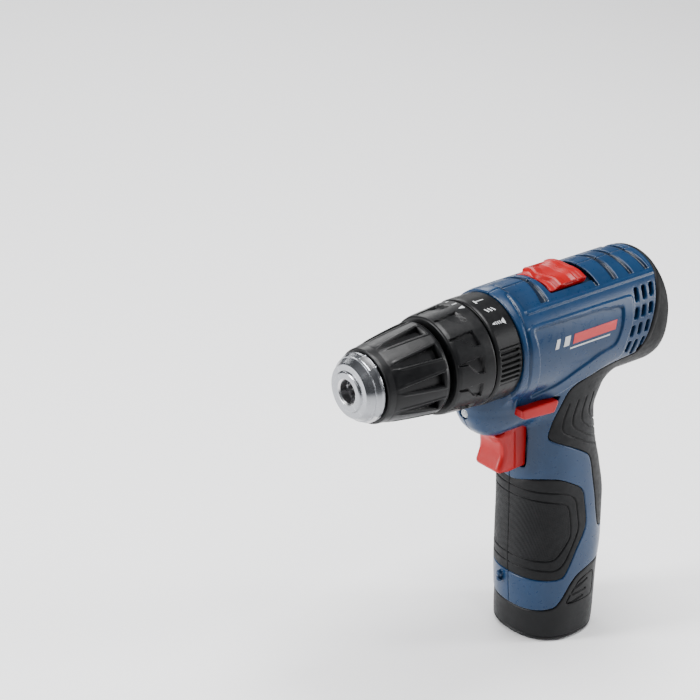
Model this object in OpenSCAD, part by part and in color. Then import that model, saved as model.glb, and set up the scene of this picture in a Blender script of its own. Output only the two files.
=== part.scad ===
// Cordless hammer drill with a keyless chuck, built from separate parts.
// Frame: origin at the centre of the battery's flat base, +X forward along the chuck,
// +Y to the tool's left side, +Z up. All lengths in mm.

/* [Overall] */
// Height of the chuck axis above the battery's flat base, in mm
axis_height = 162; // [155:0.5:170]
// Distance from the base centre line back to the housing's rear face, in mm
rear_length = 48.7; // [46:0.1:54]
// Radius of the motor barrel, in mm
barrel_radius = 26.8; // [26:0.1:29]
// Thickness of the plastic housing wall, in mm
housing_wall = 2.4; // [2:0.1:2.8]
// Thickness of the rubber overmould, in mm
rubber_thickness = 1.2; // [0.8:0.1:1.4]
// Half of the gap between the two housing halves, in mm
seam_half_gap = 0.05; // [0.03:0.01:0.1]

/* [Chuck] */
// Distance from the base centre line to the chuck's front lip, in mm
nose_front = 127.3; // [126:0.1:129]
// Radius of the chuck's through bore for the bit, in mm
bore_radius = 5.5; // [5.2:0.1:5.8]
// Angle between each jaw and the chuck axis, in degrees
jaw_angle = 15; // [14:0.5:16]
// Radius of a jaw, in mm
jaw_radius = 3.2; // [3:0.1:3.3]
// Length of a jaw, in mm
jaw_length = 26; // [22:0.5:27]
// Number of pockets around the gripping sleeve
sleeve_pockets = 10; // [8:1:12]

/* [Rings] */
// Outer radius of the mode ring, in mm
mode_ring_radius = 25.4; // [25:0.1:26]
// Outer radius of the torque ring at its front edge, in mm
torque_front_radius = 23; // [22.5:0.1:23.5]
// Number of grip recesses around the torque ring
torque_recesses = 12; // [8:1:16]

/* [Gear train] */
// Gear module of all three planetary stages, in mm
gear_module = 0.8; // [0.8:0.01:0.8]
// Teeth on each sun gear
sun_teeth = 12; // [12:1:12]
// Teeth on each planet gear
planet_teeth = 12; // [12:1:12]
// Tooth thinning that leaves backlash in each mesh, in mm
backlash = 0.16; // [0.1:0.01:0.24]

/* [Battery] */
// Radius of a battery cell, in mm
cell_radius = 9.15; // [9:0.05:9.25]
// Length of a battery cell, in mm
cell_length = 65; // [65:0.5:65]

/* [Hidden] */
H = axis_height;
RB = barrel_radius;
XR = -rear_length;
g = seam_half_gap;
W = housing_wall;
T = rubber_thickness;
NF = nose_front;
ring_teeth = sun_teeth + 2 * planet_teeth;
planet_orbit = gear_module * (sun_teeth + planet_teeth) / 2;
jaw_tip_x = 110.5;
jaw_tip_r = 5.6;
jt = tan(jaw_angle);
jaw_travel = 17.5;
jaw_flat = bore_radius - 0.4;
jaw_flat_half = (jaw_flat - jaw_travel * sin(jaw_angle) - 0.12) * tan(60);

// Handle sections: height, front x, back x, half width
handle_secs = [
  [12, 22.6, -22.3, 24.0],
  [30, 24.5, -23.8, 23.7],
  [50, 25.7, -26.3, 23.1],
  [70, 26.1, -26.3, 22.6],
  [88, 26.7, -23.0, 22.2],
  [104, 26.7, -19.0, 21.4],
  [120, 27.5, -17.0, 21.2],
  [131, 31.0, -21.0, 22.4],
  [140, 34.0, -27.0, 23.4]
];
// Barrel sections: x, radius above the axis, depth below the axis
barrel_secs = [
  [XR, 25.1, 27.2],
  [XR + 2.5, 26.2, 29.2],
  [XR + 7, 26.8, 30.0],
  [20, 26.8, 29.6],
  [36, 26.6, 27.6],
  [42, 26.3, 26.5],
  [44.8, 25.6, 25.6]
];
// Chin sections: height, front x, half width
chin_secs = [
  [115.5, 44.0, 12.0],
  [119, 50.0, 14.6],
  [124, 55.0, 16.2],
  [131, 58.0, 17.4],
  [138, 58.0, 18.0]
];
// Screw positions: x, z
screw_spots = [[8, 136.3], [-31, 138], [-10, 114], [46.5, 124], [-16, 91], [5.5, 91]];

// ---- helpers ----

// Places local +Z along +X on the chuck axis, starting at x
module ax(x = 0) {
  translate([x, 0, H]) rotate([0, 90, 0]) children();
}

// Tube or disc on the chuck axis from x0 to x1
module tube(x0, x1, ro, ri = 0, fn = 64) {
  ax(x0)
    difference() {
      cylinder(h = x1 - x0, r = ro, $fn = fn);
      if (ri > 0)
        translate([0, 0, -1]) cylinder(h = x1 - x0 + 2, r = ri, $fn = fn);
    }
}

// Solid of revolution about the chuck axis from [radius, x] points
module lathe(pts, fn = 96) {
  ax() rotate_extrude($fn = fn) polygon(pts);
}

function sup(a, b, n, c = 32) = [
  for (i = [0:c - 1])
    let (t = i * 360 / c, u = cos(t), v = sin(t))
      [a * sign(u) * pow(abs(u), 2 / n), b * sign(v) * pow(abs(v), 2 / n)]
];

module handle_slab(s, o) {
  translate([(s[1] + s[2]) / 2, 0, s[0]])
    linear_extrude(height = 0.02)
      polygon(sup((s[1] - s[2]) / 2 - o, s[3] - o, 2.35));
}

module handle_solid(o = 0) {
  for (i = [0:len(handle_secs) - 2])
    hull() {
      handle_slab(handle_secs[i], o);
      handle_slab(handle_secs[i + 1], o);
    }
}

function bsec(r, d, c = 36) = [
  for (i = [0:c - 1])
    let (t = i * 360 / c, u = cos(t), v = sin(t))
      v >= 0 ? [-r * v, r * u] : [d * pow(-v, 2 / 2.3), r * sign(u) * pow(abs(u), 2 / 2.3)]
];

module barrel_slab(s, o) {
  ax(s[0])
    linear_extrude(height = 0.02) polygon(bsec(s[1] - o, s[2] - o));
}

module barrel_solid(o = 0, a = 0, b = 6) {
  for (i = [a:b - 1])
    hull() {
      barrel_slab(barrel_secs[i], o);
      barrel_slab(barrel_secs[i + 1], o);
    }
}

module chin_slab(s, o) {
  translate([20, 0, s[0]])
    linear_extrude(height = 0.02)
      intersection() {
        polygon(sup(s[1] - 20 - o, s[2] - o, 2.6));
        translate([0, -30]) square([60, 60]);
      }
}

module chin_solid(o = 0) {
  for (i = [0:len(chin_secs) - 2])
    hull() {
      chin_slab(chin_secs[i], o);
      chin_slab(chin_secs[i + 1], o);
    }
}

module shell_outer(o = 0) {
  handle_solid(o);
  barrel_solid(o);
  chin_solid(o);
}

module side_poly(pts, w = 40) {
  rotate([90, 0, 0]) translate([0, 0, -w]) linear_extrude(height = 2 * w) polygon(pts);
}

module front_grip_region() {
  side_poly([
    [45, 84], [27, 85], [26.4, 87.6], [24.9, 89.5], [21.8, 90.5], [17.3, 90.6], [12.5, 89.6],
    [6.7, 86.5], [1.1, 83.1], [-1.6, 79.7], [-2.6, 74.3], [-4.2, 65], [-4.2, 60.5],
    [-2.6, 56.4], [1.6, 49.4], [5.6, 41.2], [8.8, 35.4], [12.7, 34.6], [45, 35.2]
  ]);
}

module back_grip_region() {
  side_poly([
    [-60, 200], [-45.6, 200], [-45.4, 185], [-44.4, 182], [-42.4, 179.3], [-40.6, 175.3],
    [-38.8, 170.8], [-37.1, 166.2], [-35.8, 161.9], [-34.2, 156.3], [-32.7, 152.1],
    [-30.8, 148], [-28.3, 146], [-24.4, 145.4], [-16.7, 144.7], [-5.4, 143.9], [5.4, 141.5],
    [10.6, 139.4], [13.6, 135.4], [16, 128.6], [17.9, 121.4], [19.4, 113.9], [18.7, 111.4],
    [15.8, 109.7], [10.4, 107.1], [1.6, 102.4], [-4.8, 98.1], [-6.5, 93.9], [-7.9, 85.2],
    [-9.6, 77.1], [-11.6, 65.1], [-13.7, 56.2], [-17.5, 54.4], [-60, 54.4]
  ]);
}

// Edge between the housing's foot and the battery cap, as the region above it
module above_battery(d = 0) {
  side_poly([
    [60, 15.4 + d], [23, 16.4 + d], [15.5, 18.1 + d], [12, 19.7 + d], [9.7, 23.1 + d],
    [5.2, 30.6 + d], [1, 35 + d], [-6.2, 37 + d], [-12, 37.9 + d], [-60, 38.4 + d],
    [-60, 250], [90, 250]
  ]);
}

// Everything a housing half gives way to
module housing_room() {
  difference() {
    union() {
      handle_solid(W);
      barrel_solid(W);
      intersection() {
        chin_solid(W);
        translate([0, -30, 100]) cube([70, 60, 33.5]);
      }
    }
    // rear wall
    translate([XR - 1, -40, 100]) cube([W + 1, 80, 100]);
    // front wall of the collar stays around the gear case
    tube(41.2, 46, 40, 21.2);
    // ribs that hold the motor and the gear case
    for (r = [[-34, 17.6], [-8, 17.6], [32, 20.95]])
      tube(r[0], r[0] + 1.5, 40, r[1]);
  }
  // way in for the cell case
  translate([0, 0, 10]) linear_extrude(height = 70) cell_outline(cell_radius + 1.15);
  // handle's open foot around the battery
  translate([0, 0, 10])
    linear_extrude(height = 30) polygon(sup(20.6, 20.9, 2.35));
  // trigger window
  translate([22, -9.3, 94.8]) cube([30, 18.6, 24.4]);
  // direction switch window
  translate([16.5, -40, 128]) cube([25.6, 80, 7.8]);
  // selector slot
  translate([-9.4, -12.9, 180]) cube([27.2, 25.8, 20]);
  // ring clearance and gear nose
  tube(44.95, 70, 26.1);
  tube(36, 50, 21.2);
  // lamp seat
  translate([50, 0, 130.4]) rotate([0, 90, 0]) cylinder(h = 12, r = 2.7, $fn = 24);
  // vents
  for (k = [0:2])
    for (r = [[38.5, 24, -27.9], [19, 7, -25.5], [2, -11, -22.9], [-16, -31, -20.3]])
      for (s = [0, 180])
        vent(r[2] - 4.85 * k, r[0], r[1], s);
}

module vent(x, a1, a0, s) {
  m = (a1 + a0) / 2;
  h = (a1 - a0) * 3.14159 / 180 * RB;
  ax(x) rotate([0, 0, 180 + (s == 0 ? 90 - m : 270 + m)])
    translate([RB - 5, -h / 2, -1.1]) cube([9, h, 2.2]);
}

module bosses() {
  intersection() {
    shell_outer(0.6);
    for (p = screw_spots)
      translate([p[0], 40, p[1]]) rotate([90, 0, 0]) cylinder(h = 80, r = 4.2, $fn = 20);
  }
}

module screw_holes() {
  for (p = screw_spots) {
    translate([p[0], 8, p[1]]) rotate([90, 0, 0]) cylinder(h = 60, r = 1.5, $fn = 16);
    translate([p[0], -9, p[1]]) rotate([90, 0, 0]) cylinder(h = 30, r = 3.1, $fn = 20);
  }
}

// Eyelet for a wrist strap, low on the handle's front
module lug() {
  difference() {
    translate([23.2, -6.6, 27]) cube([3.8, 2.6, 5.8]);
    translate([25.4, 0, 29.9]) rotate([90, 0, 0]) cylinder(h = 20, r = 1, $fn = 24);
  }
}

module housing_half(s) {
  intersection() {
    difference() {
      union() {
        lug();
        difference() {
          intersection() {
            shell_outer();
            above_battery();
          }
          housing_room();
        }
        bosses();
      }
      screw_holes();
      // room for the rubber skins
      difference() {
        union() {
          front_grip_region();
          back_grip_region();
        }
        shell_outer(T);
      }
    }
    translate([-100, s > 0 ? g : -60 - g, 0]) cube([200, 60, 220]);
  }
}

module grip(s, front) {
  intersection() {
    difference() {
      shell_outer();
      shell_outer(T - 0.02);
      if (!front) {
        tube(XR - 1, XR + T, RB - 3);
        for (p = screw_spots)
          translate([p[0], 0, p[1]]) rotate([90, 0, 0]) cylinder(h = 60, r = 3.2, $fn = 20);
      }
    }
    if (front) front_grip_region(); else back_grip_region();
    translate([-100, s > 0 ? g : -60 - g, 0]) cube([200, 60, 220]);
  }
}

// ---- housing nodes ----

module housing_left() color([0.05, 0.22, 0.42]) housing_half(1);
module housing_right() color([0.05, 0.22, 0.42]) housing_half(-1);
module front_grip_left() color([0.03, 0.03, 0.035]) grip(1, true);
module front_grip_right() color([0.03, 0.03, 0.035]) grip(-1, true);
module back_grip_left() color([0.03, 0.03, 0.035]) grip(1, false);
module back_grip_right() color([0.03, 0.03, 0.035]) grip(-1, false);

module housing_screws() color([0.5, 0.5, 0.52]) {
  for (p = screw_spots)
    translate([p[0], 0, p[1]]) rotate([90, 0, 0]) {
      translate([0, 0, 9.1]) cylinder(h = 2.2, r = 2.8, $fn = 20);
      translate([0, 0, -6]) cylinder(h = 15.2, r = 1.4, $fn = 12);
    }
}

module led_lens() color([0.9, 0.9, 0.85, 0.6])
  translate([52.5, 0, 130.4]) rotate([0, 90, 0]) {
    cylinder(h = 4, r = 2.45);
    translate([0, 0, 4]) scale([1, 1, 0.5]) sphere(r = 2.45, $fn = 32);
  }

module led_board() color([0.1, 0.35, 0.15])
  translate([50.4, -5, 126.6]) cube([1.6, 10, 6.5]);

// ---- controls ----

module trigger() color([0.75, 0.04, 0.05]) {
  difference() {
    hull() {
      translate([28, 0, 116]) trigger_bar(1.6);
      translate([42.6, 0, 115.8]) trigger_bar(1.9);
      translate([41, 0, 98.2]) trigger_bar(2.2);
      translate([28, 0, 97.6]) trigger_bar(1.6);
    }
    // finger hollow
    translate([53.2, 20, 106.5]) rotate([90, 0, 0]) cylinder(h = 40, r = 14.2, $fn = 96);
    // plunger socket
    translate([26, -2.5, 103.5]) cube([5, 5, 5]);
  }
  // side skirts that keep the slot closed
  for (s = [-1, 1])
    translate([21.2, s * 7.85 - 0.85, 97]) cube([7.8, 1.7, 18.4]);
}

module trigger_bar(r) {
  translate([0, 8.7, 0]) rotate([90, 0, 0]) cylinder(h = 17.4, r = r, $fn = 28);
}

module trigger_switch() color([0.08, 0.08, 0.09])
  translate([-3, -6.6, 95.5]) cube([22, 13.2, 26]);

// Coil spring along X: wire radius w, mean radius r, turns n, from x0 to x1 at height z
module coil_x(x0, x1, r, w, n, z, steps = 12) {
  k = n * steps;
  for (i = [0:k - 1])
    let (
      a0 = i * 360 / steps,
      a1 = (i + 1) * 360 / steps,
      p0 = [x0 + (x1 - x0) * i / k, r * cos(a0), z + r * sin(a0)],
      p1 = [x0 + (x1 - x0) * (i + 1) / k, r * cos(a1), z + r * sin(a1)]
    )
      hull() {
        translate(p0) rotate([0, 90, 0]) sphere(r = w, $fn = 6);
        translate(p1) rotate([0, 90, 0]) sphere(r = w, $fn = 6);
      }
}

module trigger_spring() color([0.7, 0.7, 0.72])
  coil_x(19.6, 26.0, 3.1, 0.35, 4, 112);

module direction_switch() color([0.75, 0.04, 0.05])
  union() {
    side_poly([[18.4, 134.9], [20.8, 128.9], [40.2, 130.2], [40.6, 134.6]], 22.6);
    // lug that turns the reversing lever
    translate([24, -6, 124.6]) cube([4, 12, 6]);
  }

module gear_selector() color([0.75, 0.04, 0.05])
  intersection() {
    tube(-4.4, 17.2, RB + 2.6, RB - 1.6);
    translate([-4.4, -12.2, 178]) cube([21.6, 24.4, 20]);
    difference() {
      translate([-5, -13, 178]) cube([23, 26, 20]);
      // thumb hollow across the top
      translate([6, 20, RB + H + 6.4]) rotate([90, 0, 0]) cylinder(h = 40, r = 6.6, $fn = 48);
    }
  }

module shift_fork() color([0.75, 0.75, 0.77]) {
  difference() {
    tube(23.6, 26.4, 23.3, 21.5);
    translate([20, -30, H - 40]) cube([10, 60, 38]);
  }
  for (s = [-1, 1])
    translate([25, s * 17.75, H]) rotate([s * -90, 0, 0]) cylinder(h = 5.5, r = 1.1, $fn = 24);
  translate([9.5, -1.5, H + 22.3]) cube([15, 3, 1.0]);
  translate([9.5, -1.5, H + 22.3]) cube([2, 3, 2.8]);
}

// ---- motor ----

module motor_can() color([0.62, 0.63, 0.65])
  difference() {
    union() {
      tube(-40, 4, 17.5);
      tube(4, 5.4, 6.2);
    }
    tube(-41, 2.5, 16.4);
    tube(2, 6, 1.68);
    for (a = [0:60:359])
      ax(2) rotate([0, 0, a]) translate([11, 0, 0]) cylinder(h = 3, r = 2.2, $fn = 24);
  }

module motor_magnets() color([0.2, 0.2, 0.21])
  difference() {
    tube(-32, 0, 16.35, 13.5);
    for (s = [-1, 1])
      ax(-33) rotate([0, 0, s * 90]) translate([0, -5.5, 0]) cube([20, 11, 40]);
  }

module motor_end_cap() color([0.1, 0.1, 0.11])
  difference() {
    union() {
      tube(-43, -40.1, 17.4);
      tube(-40.1, -37, 16.2, 14.6);
      tube(-45.5, -43, 6.5);
      // brush holders
      for (s = [-1, 1])
        translate([-40.2, -3.4, H + s * 10 - 4.2]) cube([8, 6.8, 8.4]);
    }
    tube(-47, -30, 1.68);
    for (s = [-1, 1])
      translate([-38.6, -2.1, H + s * 10 - 5]) cube([5.4, 4.2, 10]);
  }

module motor_brushes() color([0.12, 0.12, 0.12])
  for (s = [-1, 1])
    translate([-38.2, -1.9, H + (s > 0 ? 5.15 : -12.65)]) cube([4.6, 3.8, 7.5]);

module rotor_shaft() color([0.8, 0.8, 0.82])
  tube(-44.8, 14.9, 1.6, 0, 48);

module armature() color([0.4, 0.4, 0.42])
  difference() {
    tube(-29, -5, 13.0, 1.62);
    for (a = [0:72:359])
      ax(-30) rotate([0, 0, a]) translate([6.5, -3.0, 0]) cube([5, 6, 30]);
    for (a = [0:72:359])
      ax(-30) rotate([0, 0, a]) translate([9, -1.0, 0]) cube([8, 2, 30]);
  }

module windings() color([0.72, 0.4, 0.2])
  difference() {
    tube(-31.2, -2.6, 11.2, 6.6);
    difference() {
      tube(-29.05, -4.95, 20);
      for (a = [0:72:359])
        ax(-30) rotate([0, 0, a]) translate([6.6, -2.9, 0]) cube([4.8, 5.8, 30]);
    }
  }

module commutator() color([0.78, 0.45, 0.25])
  difference() {
    tube(-37.6, -31.9, 5.0, 1.62);
    for (a = [0:72:359])
      ax(-39) rotate([0, 0, a + 36]) translate([4.2, -0.25, 0]) cube([2, 0.5, 8]);
  }

// ---- gears ----

function inv(a) = tan(a) * 180 / PI - a;

// One flank of an involute: angle from the tooth centre at radius r
function flank(rp, r, thin) =
  let (rb = rp * cos(20), ac = r > rb ? acos(rb / r) : 0)
    90 * (PI * gear_module / 2 - thin) / (PI * rp) + inv(20) - inv(ac);

module gear2d(z, thin = backlash / 2, add = 0.8, ded = 1.15) {
  rp = gear_module * z / 2;
  ra = rp + add * gear_module;
  rr = rp - ded * gear_module;
  rs = [rr, max(rr + 0.1, rp * cos(20)), rp - 0.1, min(rp + 0.3, ra - 0.05), ra];
  polygon([
    for (i = [0:z - 1])
      each concat(
        [for (r = rs) let (a = i * 360 / z - flank(rp, r, thin)) [r * cos(a), r * sin(a)]],
        [for (k = [4:-1:0]) let (r = rs[k], a = i * 360 / z + flank(rp, r, thin))
          [r * cos(a), r * sin(a)]]
      )
  ]);
}

// Tooth space cutter of a ring gear, with teeth centred on 0 degrees
module ring2d(z, thin = backlash / 2) {
  rp = gear_module * z / 2;
  ri = rp - 0.5 * gear_module;
  ro = rp + 1.1 * gear_module;
  rs = [ri, rp, ro];
  polygon([
    for (i = [0:z - 1])
      each concat(
        [for (r = rs) let (a = (i + 0.5) * 360 / z - flank(rp, r, -thin)) [r * cos(a), r * sin(a)]],
        [for (k = [2:-1:0]) let (r = rs[k], a = (i + 0.5) * 360 / z + flank(rp, r, -thin))
          [r * cos(a), r * sin(a)]]
      )
  ]);
}

module sun(x0, x1, bore) {
  ax(x0)
    difference() {
      linear_extrude(height = x1 - x0) gear2d(sun_teeth);
      if (bore > 0)
        translate([0, 0, -1]) cylinder(h = x1 - x0 + 2, r = bore, $fn = 48);
    }
}

module ring_gear(x0, x1) {
  ax(x0)
    difference() {
      cylinder(h = x1 - x0, r = 18.3, $fn = 96);
      translate([0, 0, -1]) linear_extrude(height = x1 - x0 + 2) ring2d(ring_teeth);
    }
}

module planet(x0, x1, a, bore) {
  ax(x0)
    rotate([0, 0, a]) translate([planet_orbit, 0, 0])
      difference() {
        rotate([0, 0, 180 / planet_teeth])
          linear_extrude(height = x1 - x0) gear2d(planet_teeth);
        translate([0, 0, -1]) cylinder(h = x1 - x0 + 2, r = bore, $fn = 32);
      }
}

// Carrier plate with three planet pins reaching back to xp
module carrier_plate(x0, x1, xp, r) {
  tube(x0, x1, r);
  carrier_pins(x0, xp);
}

module carrier_pins(x0, xp) {
  for (a = [0:120:359])
    ax(xp) rotate([0, 0, a]) translate([planet_orbit, 0, 0])
      cylinder(h = x0 - xp + 0.5, r = 1.95, $fn = 32);
}

module sun_gear_1() color([0.75, 0.74, 0.7]) sun(8, 15, 1.62);

module gear_case() color([0.13, 0.13, 0.14])
  difference() {
    union() {
      tube(5.8, 44.4, 20.8);
      // nose tube that carries the spindle bearings and the clutch parts
      tube(44.4, 81.4, 13.4);
    }
    tube(7.6, 42.2, 18.6);
    tube(5, 8, 6.6);
    tube(42, 82, 9.4);
    tube(46, 52.1, 11.0);
    tube(74.9, 82, 11.0);
    // fork slots
    for (s = [-1, 1])
      translate([18.6, s * 19.5 - 3, H - 1.3]) cube([8, 6, 2.6]);
    // clutch ball holes
    for (a = [30:60:389])
      ax(41) rotate([0, 0, a]) translate([16.2, 0, 0]) cylinder(h = 5, r = 1.85, $fn = 32);
  }

module ring_gear_1() color([0.55, 0.55, 0.57]) ring_gear(8.2, 15);
module ring_gear_3() color([0.55, 0.55, 0.57]) ring_gear(31.8, 38.9);

module planet_1a() color([0.7, 0.68, 0.62]) planet(8.6, 14.7, 0, 2.0);
module planet_1b() color([0.7, 0.68, 0.62]) planet(8.6, 14.7, 120, 2.0);
module planet_1c() color([0.7, 0.68, 0.62]) planet(8.6, 14.7, 240, 2.0);

module carrier_1() color([0.66, 0.66, 0.68]) {
  carrier_plate(15.3, 17.3, 8.7, 12.6);
  sun(17.2, 27.6, 0);
}

module planets_2() color([0.7, 0.68, 0.62])
  for (a = [0:120:359])
    planet(20, 27, a, 2.0);

module shift_ring() color([0.6, 0.6, 0.62])
  difference() {
    ring_gear(21.6, 30.6);
    tube(23.2, 26.8, 19, 17.3);
  }

module carrier_2() color([0.66, 0.66, 0.68]) {
  carrier_pins(28, 20.2);
  // toothed rim that the shift ring slides onto
  ax(28) rotate([0, 0, 180 / ring_teeth])
    linear_extrude(height = 2.4) gear2d(ring_teeth, 0.3, 0.3, 1.2);
  sun(30.3, 38.6, 0);
}

module planet_3a() color([0.7, 0.68, 0.62]) planet(32.2, 38.4, 0, 2.0);
module planet_3b() color([0.7, 0.68, 0.62]) planet(32.2, 38.4, 120, 2.0);
module planet_3c() color([0.7, 0.68, 0.62]) planet(32.2, 38.4, 240, 2.0);

module spindle() color([0.78, 0.78, 0.8])
  difference() {
    union() {
      carrier_plate(39, 41.8, 32.4, 14);
      tube(41.7, 45.6, 9.0);
      tube(45.5, 82.2, 6.5);
      tube(82.1, 95, 6.2);
      // turning half of the hammer ratchet
      tube(54, 57, 9.0);
      for (a = [0:30:359])
        ax(56.9) rotate([0, 0, a]) translate([7, -0.6, 0]) cube([1.9, 1.2, 0.8]);
    }
    tube(76, 98, 2.5);
  }

module spindle_bearings() color([0.72, 0.72, 0.74]) {
  tube(46.1, 52, 10.98, 6.54);
  tube(75, 81, 10.98, 6.54);
}

module hammer_ratchet_fixed() color([0.6, 0.6, 0.62])
  difference() {
    tube(59.2, 63, 9.38, 6.9);
    for (a = [0:30:359])
      ax(59) rotate([0, 0, a + 15]) translate([6, -0.8, 0]) cube([4, 1.6, 1]);
  }

// ---- clutch and rings ----

module clutch_balls() color([0.85, 0.85, 0.87])
  for (a = [30:60:389])
    ax(41.4) rotate([0, 0, a]) translate([16.2, 0, 0]) {
      translate([0, 0, 1.4]) sphere(r = 1.75, $fn = 24);
      translate([0, 0, 1.4]) cylinder(h = 1.7, r = 1.75, $fn = 24);
    }

module clutch_plate() color([0.7, 0.7, 0.72]) tube(44.9, 46.6, 19.2, 13.7);

module clutch_spring() color([0.6, 0.6, 0.63])
  coil_x(48.2, 63.4, 16.3, 1.15, 4, H, 20);

module torque_ring() color([0.04, 0.04, 0.045])
  difference() {
    lathe([
      [20.2, 60.7], [24.4, 60.7], [24.9, 61.4], [24.7, 66], [23.6, 76], [23.3, 82.0],
      [22.6, 82.6], [14.2, 82.6], [14.2, 80.4], [19.8, 79.6], [19.8, 69], [13.8, 69],
      [13.8, 66.4], [20.2, 66.4]
    ]);
    for (i = [0:torque_recesses - 1])
      ax(67) rotate([0, 0, i * 360 / torque_recesses])
        translate([23.4, -1.6, 0]) cube([4, 3.2, 9]);
  }

module mode_ring() color([0.04, 0.04, 0.045])
  difference() {
    lathe([
      [21.6, 45.3], [mode_ring_radius - 0.6, 45.3], [mode_ring_radius, 46],
      [mode_ring_radius, 58.8], [mode_ring_radius - 0.5, 60.3], [20.8, 60.3],
      [20.8, 47.5], [21.6, 47.5]
    ]);
    // grip grooves in two blocks
    for (s = [0, 180])
      for (k = [-2:2])
        ax(48) rotate([0, 0, 90 + s + k * 6.5])
          translate([mode_ring_radius - 0.7, -0.7, 0]) cube([3, 1.4, 10]);
  }

// ---- chuck ----

// Jaw placed by the angle a around the axis; slid shut by travel s
module jaw_frame(a) {
  ax() rotate([0, 0, a]) translate([jaw_tip_r, 0, jaw_tip_x]) rotate([0, -jaw_angle, 0]) children();
}

module chuck_body() color([0.6, 0.61, 0.62])
  difference() {
    lathe([
      [0, 85.2], [14.2, 85.2], [14.2, 90.6], [11.9, 90.6], [11.9, 99.4], [14.2, 99.4],
      [14.2, 118.1], [15.7, 118.1], [16.1, 118.7], [16.1, 120], [12.4, 126], [11.2, 126.1],
      [9.3, 126.3], [9.0, NF - 0.3], [8.6, NF], [0, NF]
    ]);
    // through bore for the bit
    tube(122.5, NF + 1, bore_radius, 0, 96);
    ax(NF - 0.7) cylinder(h = 0.8, r1 = bore_radius, r2 = bore_radius + 0.8, $fn = 96);
    tube(98.5, 123, bore_radius - 0.35, 0, 96);
    tube(95, 99, 5.15, 0, 64);
    tube(84, 95.1, 6.22, 0, 64);
    for (a = [0, 120, 240])
      jaw_frame(a) translate([0, 0, -40]) cylinder(h = 58, r = jaw_radius + 0.08, $fn = 48);
    // key flats
    for (a = [60, 180, 300])
      ax(106) rotate([0, 0, a]) translate([13, -3, 0]) cube([3, 6, 6]);
  }

module jaw(a) {
  intersection() {
    jaw_frame(a)
      union() {
        translate([0, 0, -jaw_length]) cylinder(h = jaw_length - 1, r = jaw_radius, $fn = 48);
        translate([0, 0, -1]) cylinder(h = 1, r1 = jaw_radius, r2 = jaw_radius - 0.8, $fn = 48);
      }
    // wedge faces that meet the other two jaws when shut
    ax(60) rotate([0, 0, a]) linear_extrude(height = 70)
      polygon([
        [jaw_flat, -jaw_flat_half], [jaw_flat, jaw_flat_half],
        [jaw_flat + 12, jaw_flat_half + 12 * tan(60)], [jaw_flat + 12, -jaw_flat_half - 12 * tan(60)]
      ]);
  }
}

module chuck_jaw_1() color([0.5, 0.5, 0.52]) jaw(0);
module chuck_jaw_2() color([0.5, 0.5, 0.52]) jaw(120);
module chuck_jaw_3() color([0.5, 0.5, 0.52]) jaw(240);

function jaw_outer(x) = jaw_tip_r + (jaw_tip_x - x) * jt + jaw_radius / cos(jaw_angle);

module chuck_nut() color([0.55, 0.55, 0.57])
  lathe([
    [jaw_outer(91) + 0.18, 91], [17.85, 91], [17.85, 99], [jaw_outer(99) + 0.18, 99]
  ]);

module chuck_sleeve() color([0.04, 0.04, 0.045])
  difference() {
    lathe([
      [16.9, 84.9], [20.6, 84.9], [21.5, 85.8], [21.5, 87], [19.8, 100], [17.9, 112],
      [17.6, 116.6], [17.2, 117.5], [14.6, 117.5], [14.6, 100.2], [17.95, 100.2],
      [17.95, 90.2], [16.9, 90.2]
    ]);
    for (i = [0:sleeve_pockets - 1])
      ax() rotate([0, 0, i * 360 / sleeve_pockets])
        translate([19.2, 0, 110]) rotate([0, -5, 0])
          translate([0, 0, -20]) cylinder(h = 20.5, r = 2.1, $fn = 24);
  }

module chuck_screw() color([0.35, 0.35, 0.37]) {
  tube(95.15, 98.2, 4.2, 0, 48);
  tube(84, 95.2, 2.45, 0, 48);
}

// ---- battery ----

module cap_outer(o = 0) {
  for (s = [
    [[0, 20.9, -20.9, 21.6], [2.2, 22.8, -22.4, 23.5]],
    [[2.2, 22.8, -22.4, 23.5], [12, 22.6, -22.6, 24]],
    [[12, 22.6, -22.6, 24.0], [30, 24.3, -23.8, 23.7]],
    [[30, 24.3, -23.8, 23.7], [40, 25.0, -25.0, 23.4]]
  ])
    hull() {
      handle_slab([s[0][0], s[0][1], s[0][2], s[0][3]], o);
      handle_slab([s[1][0], s[1][1], s[1][2], s[1][3]], o);
    }
}

module latch_region(d = 0) {
  side_poly([[-11.5 - d, 20 - d], [6.5 + d, 20 - d], [6.5 + d, 22 + d], [-0.5 + d, 31.4 + d], [-11.5 - d, 33.6 + d]]);
}

module battery_cap() color([0.05, 0.05, 0.055])
  difference() {
    intersection() {
      cap_outer();
      difference() {
        translate([-60, -40, 0]) cube([120, 80, 60]);
        above_battery(-0.25);
      }
    }
    // well for the cell case
    translate([0, 0, 3]) linear_extrude(height = 60) cell_outline(cell_radius + 0.8);
    latch_region(0.25);
  }

module latch(s) {
  intersection() {
    difference() {
      cap_outer();
      translate([0, 0, -1]) linear_extrude(height = 60) polygon(sup(22.0, 21.7, 2.35));
    }
    latch_region();
    translate([-60, s > 0 ? 0 : -60, 0]) cube([120, 60, 60]);
  }
}

module latch_left() color([0.06, 0.06, 0.065]) latch(1);
module latch_right() color([0.06, 0.06, 0.065]) latch(-1);

cell_spots = [[8.2, 0], [-8.0, 9.25], [-8.0, -9.25]];

module cell_outline(r) {
  hull()
    for (p = cell_spots)
      translate(p) circle(r = r, $fn = 56);
}

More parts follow.
